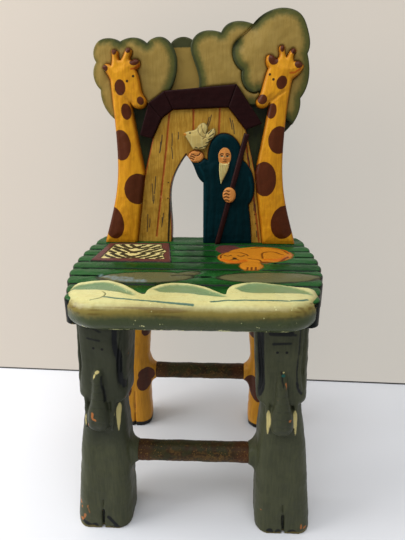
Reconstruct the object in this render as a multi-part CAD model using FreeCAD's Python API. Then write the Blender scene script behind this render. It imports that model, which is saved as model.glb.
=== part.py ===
import FreeCAD, Part

import math
import os

from FreeCAD import Placement, Rotation, Vector

# A carved and painted child's chair, in millimetres. X runs to the right as seen from the front,
# Y runs from the front to the back, and Z is up.

# Seat
SEAT_WIDTH = 308.0
SEAT_DEPTH = 258.0
SEAT_HEIGHT = 306.0
SEAT_THICK = 28.0
SEAT_WIDEST_Y = 28.0
FRONT_NARROWING = 19.0
REAR_NARROWING = 7.0
SEAT_CORNER = 46.0
PLANK_PITCH = 25.5
PLANK_BULGE = 4.0
FIRST_PLANK = 40.0
GROOVE_WIDTH = 3.0
GROOVE_DEPTH = 3.0

# Wave rail along the front of the seat
RAIL_INSET = 19.0
RAIL_DEPTH = 20.0
RAIL_NOSE = 13.0
WAVE_REACH = 48.5
WAVE_RISE = 3.0
WAVE_LET_IN = 3.0

# Back: a backer board that carries carved pieces, leaning back from the seat
BACK_RAKE = 4.0
BACK_INSET = 14.0
BACK_LEDGE = 4.0
CREST_HEIGHT = 300.0
BACKER_THICK = 14.0
GIRAFFE_THICK = 17.0
TREE_THICK = 7.0
LOBE_THICK = 10.0
HOUSE_THICK = 10.0
ROOF_THICK = 15.0
ROBE_THICK = 15.0
FACE_THICK = 8.0
BEARD_THICK = 3.0
STAFF_WIDTH = 7.2
STAFF_THICK = 9.0
HAND_THICK = 7.0
DOVE_THICK = 7.0

# Elephant front legs
FRONT_LEG_INSET_X = 58.0
FRONT_LEG_INSET_Y = 56.0
FRONT_SPLAY_OUT = 2.9
FRONT_SPLAY_FORE = 1.8
ELEPHANT_FOOT_WIDTH = 66.0
ELEPHANT_FOOT_DEPTH = 60.0
ELEPHANT_NECK_WIDTH = 45.0
ELEPHANT_NECK_DEPTH = 48.0
HEAD_WIDTH = 60.0
HEAD_DEPTH = 54.0
HEAD_LENGTH = 104.0
HEAD_TAPER = 4.0
HEAD_TURN_LEFT = 7.0
HEAD_TURN_RIGHT = 3.0
HEAD_CHIN = 9.0
FACE_WIDTH = 40.0
EAR_SETBACK = 4.0
EAR_GROOVE = 3.5
TRUNK_WIDTH = 22.0
TRUNK_REACH = 10.0
TRUNK_TOP = 54.0
TRUNK_LENGTH = 82.0
TUSK_SPREAD = 15.5
TUSK_LENGTH = 34.0
TUSK_RADIUS = 3.2
FOOT_GROOVE_HEIGHT = 42.0

# Giraffe rear legs
REAR_LEG_INSET_X = 59.0
REAR_LEG_INSET_Y = 29.0
REAR_SPLAY_OUT = 2.0
REAR_SPLAY_BACK = 0.7
HOOF_WIDTH = 50.0
HOOF_DEPTH = 46.0
SHIN_WIDTH = 45.0
SHIN_DEPTH = 42.0
HOOF_GROOVE_HEIGHT = 65.0

# What the four legs share
LEG_CORNER = 17.0
LEG_GROOVE_WIDTH = 3.0
LEG_GROOVE_DEPTH = 3.0
TENON_RADIUS = 14.0
TENON_LENGTH = 16.0
WEDGE_THICK = 2.4
WEDGE_TIP = 0.8
WEDGE_LENGTH = 13.0
BOSS_ROOT_RADIUS = 40.0
BOSS_RADIUS = 12.6
BOSS_STANDOUT = 10.0
BOSS_SINK = 3.0

# Stretchers
FRONT_STRETCHER_HEIGHT = 93.0
REAR_STRETCHER_HEIGHT = 92.5
STRETCHER_RADIUS = 12.2
STRETCHER_WOBBLE = 0.7
STRETCHER_TENON_RADIUS = 8.0
STRETCHER_TENON_LENGTH = 20.0

# Dowels under the back, and the clearance that every glued round joint has
DOWEL_RADIUS = 4.0
DOWEL_IN_BACK = 18.0
DECK_WEB = 2.0
FIT = 0.15

# Worked-out places
SEAT_BOTTOM = SEAT_HEIGHT - SEAT_THICK
NOSE_Y = -SEAT_DEPTH / 2
REAR_Y = SEAT_DEPTH / 2
JOINT_Y = NOSE_Y + RAIL_DEPTH
BACK_Y = REAR_Y - BACKER_THICK - BACK_LEDGE
DOWEL_IN_DECK = SEAT_THICK - TENON_LENGTH - DECK_WEB
FAR = 2 * (SEAT_WIDTH + SEAT_DEPTH + SEAT_HEIGHT + CREST_HEIGHT)

# The carver's pattern for the back is drawn this large, and scaled to the back's real size
WAVE_PATTERN_WIDTH = 308.0
WAVE_PATTERN_REACH = 48.5
PATTERN_WIDTH = 280.0
PATTERN_HEIGHT = 300.0
PATTERN_SCALE_X = (SEAT_WIDTH - 2 * BACK_INSET) / PATTERN_WIDTH
PATTERN_SCALE_Z = CREST_HEIGHT / PATTERN_HEIGHT
BELOW = -6.0


# Wires, faces and solids

def run(points):
    """One edge through the points: straight for two of them, a smooth curve for more."""
    if len(points) == 2:
        return Part.LineSegment(points[0], points[1]).toShape()
    curve = Part.BSplineCurve()
    curve.interpolate(points)
    return curve.toShape()


def outline(runs):
    """A closed face from runs of points. Each run starts at the corner where the last one ended."""
    corners = [r[0] for r in runs]
    edges = []
    for index, points in enumerate(runs):
        end = corners[(index + 1) % len(runs)]
        edges.append(run(list(points) + [end]))
    return Part.Face(Part.Wire(edges))


def straight_outline(points):
    """A closed face with straight sides between the points."""
    return outline([[p] for p in points])


def pattern(u, v):
    """A point of the carver's pattern: u to the right of the middle, v above the seat."""
    return Vector(u * PATTERN_SCALE_X, 0, v * PATTERN_SCALE_Z)


def pattern_runs(runs, side=1):
    """Runs of pattern points, mirrored for the left-hand side."""
    return [[pattern(side * u, v) for u, v in points] for points in runs]


def relief(face, thick, base=0.0):
    """A flat carving in front of the backer: it starts base in front of it and is this thick."""
    solid = face.extrude(Vector(0, -thick, 0))
    solid.translate(Vector(0, -base, 0))
    return solid


def oval(u, v, half_width, half_height):
    """An upright oval face on the pattern."""
    across = half_width * PATTERN_SCALE_X
    up = half_height * PATTERN_SCALE_Z
    ring = Part.Ellipse(Vector(0, 0, 0), max(across, up), min(across, up)).toShape()
    if up > across:
        ring.rotate(Vector(0, 0, 0), Vector(0, 0, 1), 90)
    ring.rotate(Vector(0, 0, 0), Vector(1, 0, 0), 90)
    ring.translate(pattern(u, v))
    return Part.Face(Part.Wire(ring))


def rounded_section(width, depth, z, y=0.0, corner=LEG_CORNER):
    """A level rounded rectangle round the axis, as a wire of four sides and four arcs."""
    radius = min(corner, 0.45 * width, 0.45 * depth)
    half_x = width / 2 - radius
    half_y = depth / 2 - radius
    edges = []
    last = None
    first = None
    for quarter in range(4):
        turn = math.pi / 2 * quarter
        sign_x = 1 if quarter in (0, 3) else -1
        sign_y = 1 if quarter in (0, 1) else -1
        centre = Vector(sign_x * half_x, y + sign_y * half_y, z)
        points = []
        for share in (0.0, 0.5, 1.0):
            angle = turn + share * math.pi / 2
            points.append(centre + Vector(radius * math.cos(angle), radius * math.sin(angle), 0))
        if last is not None:
            edges.append(Part.LineSegment(last, points[0]).toShape())
        else:
            first = points[0]
        edges.append(Part.Arc(*points).toShape())
        last = points[2]
    edges.append(Part.LineSegment(last, first).toShape())
    return Part.Wire(edges)


def loft(wires):
    """A smooth closed solid through the wires."""
    return Part.makeLoft(wires, True, False)


def slab(low, high):
    """An endless level slab, for trimming to the floor or to the seat."""
    return Part.makeBox(2 * FAR, 2 * FAR, high - low, Vector(-FAR, -FAR, low))


def fused(shapes):
    """One solid from several that overlap."""
    return shapes[0].multiFuse(shapes[1:]).removeSplitter()


def largest(shape):
    """The biggest solid of a cut piece: the slivers that a cut leaves beside it are pared away."""
    return max(shape.Solids, key=lambda solid: solid.Volume)


def moved(shape, placement):
    """A copy of a shape turned and shifted as a whole."""
    copy = shape.copy()
    copy.Placement = placement.multiply(copy.Placement)
    return copy


# Legs, each made round its own axis with the top at the underside of the seat

# The flare of a boss: shares of its length from the leg, and of its rise
BOSS_CURVE = [(0.0, 1.0), (0.25, 0.5), (0.6, 0.13), (1.0, 0.0)]


class Leg:
    """Where a leg meets the seat, how it leans, and how wide it is at its stretcher."""

    def __init__(self, x, y, lean_out, lean_fore, stretcher_height, waist):
        self.side = 1 if x > 0 else -1
        tilt = Rotation(Vector(0, 1, 0), -self.side * lean_out)
        tip = Rotation(Vector(1, 0, 0), -lean_fore)
        self.placement = Placement(Vector(x, y, SEAT_BOTTOM), tip.multiply(tilt))
        self.stretcher_height = stretcher_height
        self.waist = waist

    def place(self, shape):
        """A copy of a shape made round the axis, moved to this leg's place."""
        return moved(shape, self.placement)

    def at_height(self, height):
        """The point of the leg's axis at a height above the floor."""
        top = self.placement.Base
        down = self.placement.Rotation.multVec(Vector(0, 0, -1))
        return top + down * ((top.z - height) / -down.z)

    def inward(self):
        return Vector(-self.side, 0, 0)

    def tenon(self, clearance=0.0):
        """The round tenon at the top, or with a clearance, the socket that it fits."""
        length = TENON_LENGTH + clearance
        return self.place(Part.makeCylinder(TENON_RADIUS + clearance, length))

    def wedge(self):
        """The wedge that spreads the tenon, thick end up against the end of the socket."""
        thick = WEDGE_THICK / 2
        tip = WEDGE_TIP / 2
        low = TENON_LENGTH - WEDGE_LENGTH
        reach = TENON_RADIUS
        corners = [(-tip, low), (tip, low), (thick, TENON_LENGTH), (-thick, TENON_LENGTH)]
        face = straight_outline([Vector(-reach, y, z) for y, z in corners])
        wedge = face.extrude(Vector(2 * reach, 0, 0))
        return self.place(wedge.common(Part.makeCylinder(TENON_RADIUS, TENON_LENGTH)))

    def boss(self):
        """The flare on the inner side that receives the stretcher, no deeper than the stretcher."""
        start = self.waist / 2 - BOSS_SINK
        length = BOSS_STANDOUT + BOSS_SINK
        rise = BOSS_ROOT_RADIUS - BOSS_RADIUS
        wires = []
        for along, share in BOSS_CURVE:
            height = 2 * (BOSS_RADIUS + rise * share)
            wires.append(rounded_section(height, 2 * BOSS_RADIUS, start + length * along))
        across = Rotation(Vector(0, 0, 1), self.inward())
        return moved(loft(wires), Placement(self.at_height(self.stretcher_height), across))

    def boss_end(self):
        return self.at_height(self.stretcher_height) + self.inward() * (self.waist / 2 + BOSS_STANDOUT)

    def stretcher_socket(self):
        start = self.boss_end()
        depth = STRETCHER_TENON_LENGTH + FIT
        return Part.makeCylinder(STRETCHER_TENON_RADIUS + FIT, depth, start, self.inward() * -1)

    def finish(self, body, grooves):
        """The carved body trimmed to the floor and the seat, with its boss, tenon, kerf and socket."""
        carved = fused([self.place(body), self.boss()])
        for groove in grooves:
            carved = carved.cut(self.place(groove))
        carved = carved.common(slab(0, SEAT_BOTTOM))
        whole = fused([carved, self.tenon().common(slab(SEAT_BOTTOM, FAR))])
        return whole.cut(self.wedge()).cut(self.stretcher_socket())


LEG_HEIGHT = SEAT_BOTTOM
SPARE = 12.0


def front_groove(depth, height):
    """The cut up the front of a foot that parts it into two."""
    low = -LEG_HEIGHT - SPARE
    box = Part.makeBox(LEG_GROOVE_WIDTH, LEG_GROOVE_DEPTH + SPARE, height + SPARE)
    box.translate(Vector(-LEG_GROOVE_WIDTH / 2, -depth / 2 - SPARE, low))
    return box


def turned(shape, side):
    """A copy of a piece of the head, turned a little to the left with it."""
    turn = HEAD_TURN_LEFT if side < 0 else HEAD_TURN_RIGHT
    return moved(shape, Placement(Vector(0, 0, 0), Rotation(Vector(0, 0, 1), -turn)))


def elephant_body(side):
    """Foot and neck, and the head block turned a little with its trunk and tusks."""
    floor = -LEG_HEIGHT
    neck = -HEAD_LENGTH - SPARE / 2
    shank = neck - floor
    sections = [
        (ELEPHANT_FOOT_WIDTH, ELEPHANT_FOOT_DEPTH, floor - SPARE),
        (ELEPHANT_FOOT_WIDTH, ELEPHANT_FOOT_DEPTH, floor + 0.13 * shank),
        (0.93 * ELEPHANT_FOOT_WIDTH, 0.95 * ELEPHANT_FOOT_DEPTH, floor + 0.41 * shank),
        (0.5 * (ELEPHANT_FOOT_WIDTH + ELEPHANT_NECK_WIDTH), ELEPHANT_NECK_DEPTH + 5, floor + 0.72 * shank),
        (ELEPHANT_NECK_WIDTH + 1, ELEPHANT_NECK_DEPTH, neck),
        (ELEPHANT_NECK_WIDTH, ELEPHANT_NECK_DEPTH, -HEAD_LENGTH / 2),
        (ELEPHANT_NECK_WIDTH, ELEPHANT_NECK_DEPTH, SPARE),
    ]
    column = loft([rounded_section(w, d, z) for w, d, z in sections])
    head_wires = [rounded_section(HEAD_WIDTH - HEAD_TAPER, HEAD_DEPTH, -HEAD_LENGTH)]
    head_wires.append(rounded_section(HEAD_WIDTH, HEAD_DEPTH, SPARE))
    head = Part.makeLoft(head_wires, True, True)
    chin = [edge for edge in head.Edges if edge.BoundBox.ZMax < -HEAD_LENGTH + 1]
    head = head.makeFillet(HEAD_CHIN, chin)
    front = [head, trunk()] + [tusk(hand) for hand in (-1, 1)]
    return fused([column] + [turned(piece, side) for piece in front])


def trunk():
    """The trunk: it leaves the face between the eyes and hangs to a blunt tip."""
    face_y = -HEAD_DEPTH / 2
    low = -TRUNK_TOP - TRUNK_LENGTH
    front = face_y - TRUNK_REACH
    sections = [
        (0.75 * TRUNK_WIDTH, low, front + 5),
        (1.1 * TRUNK_WIDTH, low + 6, front + 1),
        (0.88 * TRUNK_WIDTH, low + 0.42 * TRUNK_LENGTH, front),
        (0.62 * TRUNK_WIDTH, low + 0.78 * TRUNK_LENGTH, front + 4),
        (0.46 * TRUNK_WIDTH, -TRUNK_TOP, face_y + 3),
    ]
    wires = []
    for width, z, tip_y in sections:
        depth = -ELEPHANT_NECK_DEPTH / 4 - tip_y
        wires.append(rounded_section(width, depth, z, tip_y + depth / 2, 0.4 * TRUNK_WIDTH))
    return loft(wires)


def tusk(side):
    """A slim tusk lying on the front of the neck, below the head."""
    start = Vector(side * TUSK_SPREAD, -ELEPHANT_NECK_DEPTH / 2, -HEAD_LENGTH + 8)
    return Part.makeCone(TUSK_RADIUS, 0.35 * TUSK_RADIUS, TUSK_LENGTH + 8, start, Vector(0, -0.06, -1))


def ear_cuts(side):
    """The set-back ear beside the face, and the deeper groove between the two."""
    face_y = -HEAD_DEPTH / 2
    edge = FACE_WIDTH / 2
    side_x = HEAD_WIDTH / 2 + SPARE
    low = -HEAD_LENGTH
    line = [(edge, SPARE), (edge + 0.5, low + 50), (edge + 1.5, low + 30), (edge + 5, low + 17)]
    line.append((side_x, low + 8))
    inner = [Vector(side * x, 0, z) for x, z in line]
    corner = Vector(side * side_x, 0, SPARE)
    ear = outline([inner[:-1], [inner[-1]], [corner]])
    outer = [p + Vector(side * EAR_GROOVE, 0, 0.6 * EAR_GROOVE) for p in inner]
    groove = outline([inner[:-1], [inner[-1]], outer[:0:-1], [outer[0]]])
    depth = HEAD_DEPTH / 2
    cuts = []
    for face, setback in ((ear, EAR_SETBACK), (groove, EAR_SETBACK + EAR_GROOVE)):
        cut = face.extrude(Vector(0, -depth, 0))
        cut.translate(Vector(0, face_y + setback, 0))
        cuts.append(cut)
    return cuts


def elephant_leg(leg):
    grooves = [front_groove(ELEPHANT_FOOT_DEPTH, FOOT_GROOVE_HEIGHT)]
    grooves += [turned(cut, leg.side) for cut in ear_cuts(-1) + ear_cuts(1)]
    return leg.finish(elephant_body(leg.side), grooves)


def giraffe_leg(leg):
    """A plain leg that swells to a hoof, with the line between two shins cut up its front."""
    floor = -LEG_HEIGHT
    sections = [
        (HOOF_WIDTH, HOOF_DEPTH, floor - SPARE),
        (HOOF_WIDTH, HOOF_DEPTH, floor + 14),
        (SHIN_WIDTH, SHIN_DEPTH, floor + HOOF_GROOVE_HEIGHT),
        (SHIN_WIDTH, SHIN_DEPTH, floor + 0.55 * LEG_HEIGHT),
        (0.5 * (HOOF_WIDTH + SHIN_WIDTH), SHIN_DEPTH + 2, SPARE),
    ]
    body = loft([rounded_section(w, d, z) for w, d, z in sections])
    return leg.finish(body, [front_groove(HOOF_DEPTH, HOOF_GROOVE_HEIGHT)])


def stretcher(left, right):
    """A rough round stick between two bosses, with a round tenon at each end."""
    start = left.boss_end()
    end = right.boss_end()
    span = end - start
    steps = 8
    wires = []
    for step in range(steps + 1):
        share = step / steps
        swell = STRETCHER_WOBBLE * math.sin(2.7 * step) * math.sin(math.pi * share)
        drift = Vector(0, 0.8 * math.cos(1.9 * step), 0.8 * math.sin(3.1 * step))
        centre = start + span * share + drift * (STRETCHER_WOBBLE * math.sin(math.pi * share))
        circle = Part.Circle(centre, span, STRETCHER_RADIUS + swell)
        wires.append(Part.Wire(circle.toShape()))
    tenons = []
    for point, direction in ((start, span * -1), (end, span)):
        tenons.append(Part.makeCylinder(STRETCHER_TENON_RADIUS, STRETCHER_TENON_LENGTH, point, direction))
    return fused([loft(wires)] + tenons)


# Seat

def seat_half_width(y):
    """Half the seat's width at y: it narrows to the back and the front, where the corners are round."""
    half = SEAT_WIDTH / 2
    if y >= SEAT_WIDEST_Y:
        return half - REAR_NARROWING * ((y - SEAT_WIDEST_Y) / (REAR_Y - SEAT_WIDEST_Y)) ** 2
    corner_y = NOSE_Y + SEAT_CORNER
    share = min(1.0, (SEAT_WIDEST_Y - y) / (SEAT_WIDEST_Y - corner_y))
    half -= FRONT_NARROWING * share ** 2
    if y >= corner_y:
        return half
    return half - SEAT_CORNER + math.sqrt(max(0.0, SEAT_CORNER ** 2 - (y - corner_y) ** 2))


def groove_lines():
    """Where the grooves between planks run, from the back of the seat to the front."""
    lines = []
    y = REAR_Y - FIRST_PLANK
    while y > JOINT_Y + PLANK_PITCH / 2:
        lines.append(y)
        y -= PLANK_PITCH
    return lines


def deck_blank():
    """The deck in plan: each plank's end swells out between two grooves."""
    stops = [REAR_Y] + groove_lines() + [JOINT_Y]
    sides = []
    for high, low in zip(stops, stops[1:]):
        middle = (high + low) / 2
        points = []
        for y, inset in ((high, PLANK_BULGE), (middle, 0.0), (low, PLANK_BULGE)):
            points.append(Vector(seat_half_width(y) - inset, y, SEAT_BOTTOM))
        sides.append(points)
    edges = [Part.Arc(*points).toShape() for points in sides]
    mirrored = [[Vector(-p.x, p.y, p.z) for p in points] for points in sides]
    edges.append(Part.LineSegment(sides[-1][2], mirrored[-1][2]).toShape())
    edges += [Part.Arc(*reversed(points)).toShape() for points in reversed(mirrored)]
    edges.append(Part.LineSegment(mirrored[0][0], sides[0][0]).toShape())
    return Part.Face(Part.Wire(edges)).extrude(Vector(0, 0, SEAT_THICK))


def groove_cutter(y):
    """A V-shaped cut across the whole seat."""
    half = GROOVE_WIDTH / 2
    top = SEAT_HEIGHT
    corners = [(y - 2 * half, top + GROOVE_DEPTH), (y + 2 * half, top + GROOVE_DEPTH), (y, top - GROOVE_DEPTH)]
    face = straight_outline([Vector(-SEAT_WIDTH, cy, cz) for cy, cz in corners])
    return face.extrude(Vector(2 * SEAT_WIDTH, 0, 0))


def rail_outline(z):
    """The rail in plan: round front corners, straight across behind the wave crests."""
    half = SEAT_WIDTH / 2 - RAIL_INSET
    flat = half - SEAT_CORNER
    slant = math.sqrt(0.5) * SEAT_CORNER
    turn_y = NOSE_Y + SEAT_CORNER
    back_y = max(JOINT_Y + WAVE_REACH, turn_y) + 1
    edges = [Part.LineSegment(Vector(-flat, NOSE_Y, z), Vector(flat, NOSE_Y, z)).toShape()]
    middle = Vector(flat + slant, turn_y - slant, z)
    edges.append(Part.Arc(Vector(flat, NOSE_Y, z), middle, Vector(half, turn_y, z)).toShape())
    corners = [Vector(half, turn_y, z), Vector(half, back_y, z)]
    corners += [Vector(-half, back_y, z), Vector(-half, turn_y, z)]
    for start, end in zip(corners, corners[1:]):
        edges.append(Part.LineSegment(start, end).toShape())
    middle = Vector(-flat - slant, turn_y - slant, z)
    edges.append(Part.Arc(Vector(-half, turn_y, z), middle, Vector(-flat, NOSE_Y, z)).toShape())
    return Part.Face(Part.Wire(edges))


# The crest line from right to left, a row to each wave: distance from the middle, reach behind the joint
WAVE_CRESTS = [
    [(154, 28), (136, 31.5), (122, 34), (110, 37), (96, 41.5), (82, 46.5), (67, 48.5), (52, 44.5), (42, 37.5),
     (37.5, 28)],
    [(36, 12.5), (29, 18.5), (20, 28), (10.5, 35.5), (-1, 41), (-12, 43.5), (-24, 43.5), (-34.5, 39),
     (-42.5, 30.5),
     (-46.5, 22)],
    [(-48, 9.5), (-55, 16), (-64, 26), (-73.5, 36), (-85, 44.5), (-95, 48.5), (-106.5, 47.5), (-119, 43),
     (-128.5, 37)],
]
WAVE_END = (-154, 20)


def wave_point(place, level):
    """A point of the crest line, which is drawn for a seat of the pattern's width."""
    across, reach = place
    x = across * SEAT_WIDTH / WAVE_PATTERN_WIDTH
    y = JOINT_Y + reach * WAVE_REACH / WAVE_PATTERN_REACH
    return Vector(x, y, level)


def wave_region(low, high):
    """The rail's crests in plan, from the wave line forward to the nose, between two heights."""
    half = SEAT_WIDTH / 2
    runs = [[wave_point(place, low) for place in crest] for crest in WAVE_CRESTS]
    runs.append([wave_point(WAVE_END, low)])
    runs.append([Vector(-half, NOSE_Y - RAIL_DEPTH, low)])
    runs.append([Vector(half, NOSE_Y - RAIL_DEPTH, low)])
    return outline(runs).extrude(Vector(0, 0, high - low))


def rail_blank():
    """The nose strip, with the wave crests lapping back over the deck."""
    top = SEAT_HEIGHT + WAVE_RISE
    blank = rail_outline(SEAT_BOTTOM).extrude(Vector(0, 0, top - SEAT_BOTTOM))
    blank = round_nose(blank, SEAT_BOTTOM, top)
    strip = Part.makeBox(2 * FAR, FAR, FAR, Vector(-FAR, JOINT_Y - FAR, 0))
    crests = wave_region(SEAT_HEIGHT - WAVE_LET_IN, top + SPARE)
    return fused([blank.common(strip), blank.common(crests)])


def round_nose(shape, low, top):
    """Rounds the top and bottom edges of the rail along its front and its ends."""
    edges = []
    back_y = shape.BoundBox.YMax
    for edge in shape.Edges:
        box = edge.BoundBox
        level = box.ZLength < 1e-3 and min(abs(box.ZMin - low), abs(box.ZMax - top)) < 1e-3
        if level and box.YMin < back_y - 1:
            edges.append(edge)
    return shape.makeFillet(RAIL_NOSE, edges)


# The back's pieces on the pattern

ROOF_OUTER = [(-81, 147), (-68, 188), (-47, 203), (48, 211), (83, 162)]
ROOF_INNER = [(-64, 142.5), (-51, 169), (-36, 180), (38, 183), (62, 154)]
ROOF_NAMES = ["roof_left_eave", "roof_left_slope", "roof_ridge", "roof_right_slope"]
WALL_KNEE = (76, 97)
WALL_FOOT = (90, BELOW)

NECK_OUTER = [(137, BELOW), (128, 25), (121, 50), (115, 80), (112.5, 112), (113, 145), (115, 180)]
NECK_INNER = [(88, 165), (82, 130)]
HEAD_RIGHT = [
    [(120, 217), (128, 223)],
    [(134, 232), (128, 238)],
    [(121, 238), (120, 244)],
    [(123.5, 250), (119, 253.5), (115, 250)],
    [(111, 243), (109, 249)],
    [(108.5, 255), (105, 257), (101.5, 255), (102, 248)],
    [(98, 241), (91, 246)],
    [(86, 244.5), (85, 238)],
    [(88.5, 230), (85, 220), (81, 205), (78, 196.5), (74.5, 190.5), (75.5, 184.5), (81, 181.5)],
]
HEAD_LEFT = [
    [(-117.5, 216), (-121.5, 224)],
    [(-127.5, 231), (-123, 235.5)],
    [(-115.5, 234), (-114, 243)],
    [(-114.5, 251), (-110.5, 253), (-106.5, 250.5), (-106.3, 245.5)],
    [(-105.5, 240.5)],
    [(-102.5, 240.5), (-99, 246)],
    [(-96, 253), (-92, 255), (-88.5, 252.5), (-89.5, 246.5)],
    [(-91, 240.5)],
    [(-88, 240), (-84, 241.5)],
    [(-78.5, 239), (-79.5, 232.5)],
    [(-84, 229), (-80.5, 220), (-77.5, 205), (-74.5, 196.5), (-71, 191), (-72.5, 184), (-78, 181)],
]
HEADS = {-1: HEAD_LEFT, 1: HEAD_RIGHT}
THROAT = (91.5, 187.5)


def giraffe_runs(side):
    """A giraffe's outline: up the outer side of the neck, round the head, and down to the seat."""
    runs = pattern_runs([NECK_OUTER], side) + pattern_runs(HEADS[side])
    return runs + pattern_runs([[THROAT] + NECK_INNER, [WALL_KNEE], [WALL_FOOT]], side)


TREE_LEFT = [
    [(-113.5, 166), (-124, 176), (-131.5, 191)],
    [(-133, 205), (-139.5, 214), (-141.5, 228)],
    [(-137, 239), (-140, 252), (-133, 264), (-119, 268)],
    [(-104, 264), (-93, 268), (-81, 268)],
    [(-69, 262), (-60, 268), (-47, 268.5), (-36, 259), (-30, 239), (-33, 219)],
    [(-40, 203.6)],
    [(-47, 203)],
    [(-68, 188)],
    [(-92, 184)],
]

TREE_RIGHT = [
    [(-2, 206.8), (-3, 226), (-8, 240), (-12, 260), (-4, 272), (13, 276.5)],
    [(27, 274), (38, 285), (53, 287)],
    [(68, 283.5), (86, 297), (107, 301), (127, 294), (138, 274), (141, 259)],
    [(138.5, 248), (142, 231), (141, 212)],
    [(132.5, 194), (131.5, 177), (125, 163)],
    [(113.5, 150)],
    [(92, 186)],
    [(66, 185.8)],
    [(48, 211)],
]

LOBE = [
    [(68, 283.5), (53, 269), (43, 258), (44, 241)],
    [(55, 228), (55, 217), (62, 205), (71, 201)],
    [(78, 203)],
    [(92, 186)],
    [(150, 140)],
    [(150, 310)],
    [(68, 310)],
]

CENTRE_PANEL = [(-100, BELOW), (-100, 190), (-42, 230), (-33, 262), (-10, 262), (20, 230)]
CENTRE_PANEL += [(100, 190), (100, BELOW)]
CROWN_CAP = [[(-41, 255), (-37, 264), (-23, 270), (-11, 267)], [(-4, 255)]]

ARCH = [
    [(-42, BELOW), (-41, 40), (-39, 84), (-31, 103)],
    [(-19, 121), (-12, 113), (-5, 98)],
    [(5, 84)],
    [(5, BELOW)],
]

ROBE = [
    [(5, 84)],
    [(5, BELOW)],
    [(74, BELOW), (71.5, 29)],
    [(68, 54), (74, 64), (75.5, 80), (70, 101)],
    [(59, 114), (54, 134), (43, 146.5), (29, 149), (17, 141), (12, 127)],
    [(11, 114)],
    [(-4, 122)],
    [(-16, 117), (-12, 113), (-5, 98)],
]
RAISED_HAND = (-5, 119, 10.5, 8)
STAFF_HAND = (41, 68, 9, 10.5)
FACE = (34, 119, 9, 12.5)
BEARD = [[(27, 112), (33.5, 110)], [(40.5, 112), (38, 100), (33, 90)], [(29.5, 82.5), (27, 97)]]
STAFF_TOP = (63, 149)
STAFF_FOOT = (24, BELOW)
DOVE = [
    [(-22, 148), (-13, 152.6), (-6, 154.5)],
    [(-2.5, 158), (2, 162)],
    [(6, 163), (10, 159.5)],
    [(9, 149.5), (14.5, 153.7)],
    [(19.2, 156.3), (21.3, 149.4), (19.5, 145)],
    [(13.4, 139.7), (10, 133.2)],
    [(6.7, 128.5)],
    [(-8.6, 128.7), (-13, 135.6), (-17, 142)],
]
BACKER_DOWELS = [-112, -64, 40, 112]
GIRAFFE_DOWEL = 113


def lean(shape):
    """Leans a piece of the back and sets it on the seat."""
    turn = Rotation(Vector(1, 0, 0), -BACK_RAKE)
    return moved(shape, Placement(Vector(0, BACK_Y, SEAT_HEIGHT), turn))


def stand(shape):
    """Leans a piece of the back and trims its foot to the deck."""
    return lean(shape).cut(slab(-FAR, SEAT_HEIGHT))


def staff_face():
    """The staff on the pattern: a straight band from its top to the seat."""
    top = pattern(*STAFF_TOP)
    foot = pattern(*STAFF_FOOT)
    across = (top - foot).cross(Vector(0, 1, 0)).normalize() * (STAFF_WIDTH / 2)
    return straight_outline([top + across, foot + across, foot - across, top - across])


def roof_boards():
    """The roof's boards, mitred where they meet."""
    boards = {}
    for index, name in enumerate(ROOF_NAMES):
        ring = [ROOF_OUTER[index], ROOF_OUTER[index + 1], ROOF_INNER[index + 1], ROOF_INNER[index]]
        boards[name] = relief(straight_outline([pattern(u, v) for u, v in ring]), ROOF_THICK)
    return boards


def house_wall():
    """The gable wall under the roof, with the arch cut through it."""
    mirror = [(-WALL_FOOT[0], WALL_FOOT[1]), (-WALL_KNEE[0], WALL_KNEE[1])]
    ring = mirror + ROOF_INNER + [WALL_KNEE, WALL_FOOT]
    return relief(straight_outline([pattern(u, v) for u, v in ring]), HOUSE_THICK)


def backer(outlines):
    """The board behind everything, flush with the carvings round its edge."""
    panel = straight_outline([pattern(u, v) for u, v in CENTRE_PANEL])
    prisms = [face.extrude(Vector(0, BACKER_THICK, 0)) for face in outlines + [panel]]
    return fused(prisms)


def dowel(u, y, clearance=0.0):
    """A dowel that stands half in the deck and half in a piece of the back."""
    low = -DOWEL_IN_DECK - clearance
    length = DOWEL_IN_DECK + DOWEL_IN_BACK + 2 * clearance
    centre = Vector(u * PATTERN_SCALE_X, y, low)
    return Part.makeCylinder(DOWEL_RADIUS + clearance, length, centre)


def back_dowels(clearance=0.0):
    return [lean(dowel(u, BACKER_THICK / 2, clearance)) for u in BACKER_DOWELS]


def giraffe_dowels(clearance=0.0):
    return [lean(dowel(side * GIRAFFE_DOWEL, -GIRAFFE_THICK / 2, clearance)) for side in (-1, 1)]


def cut_all(shape, tools):
    for tool in tools:
        shape = shape.cut(tool)
    return shape


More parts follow.
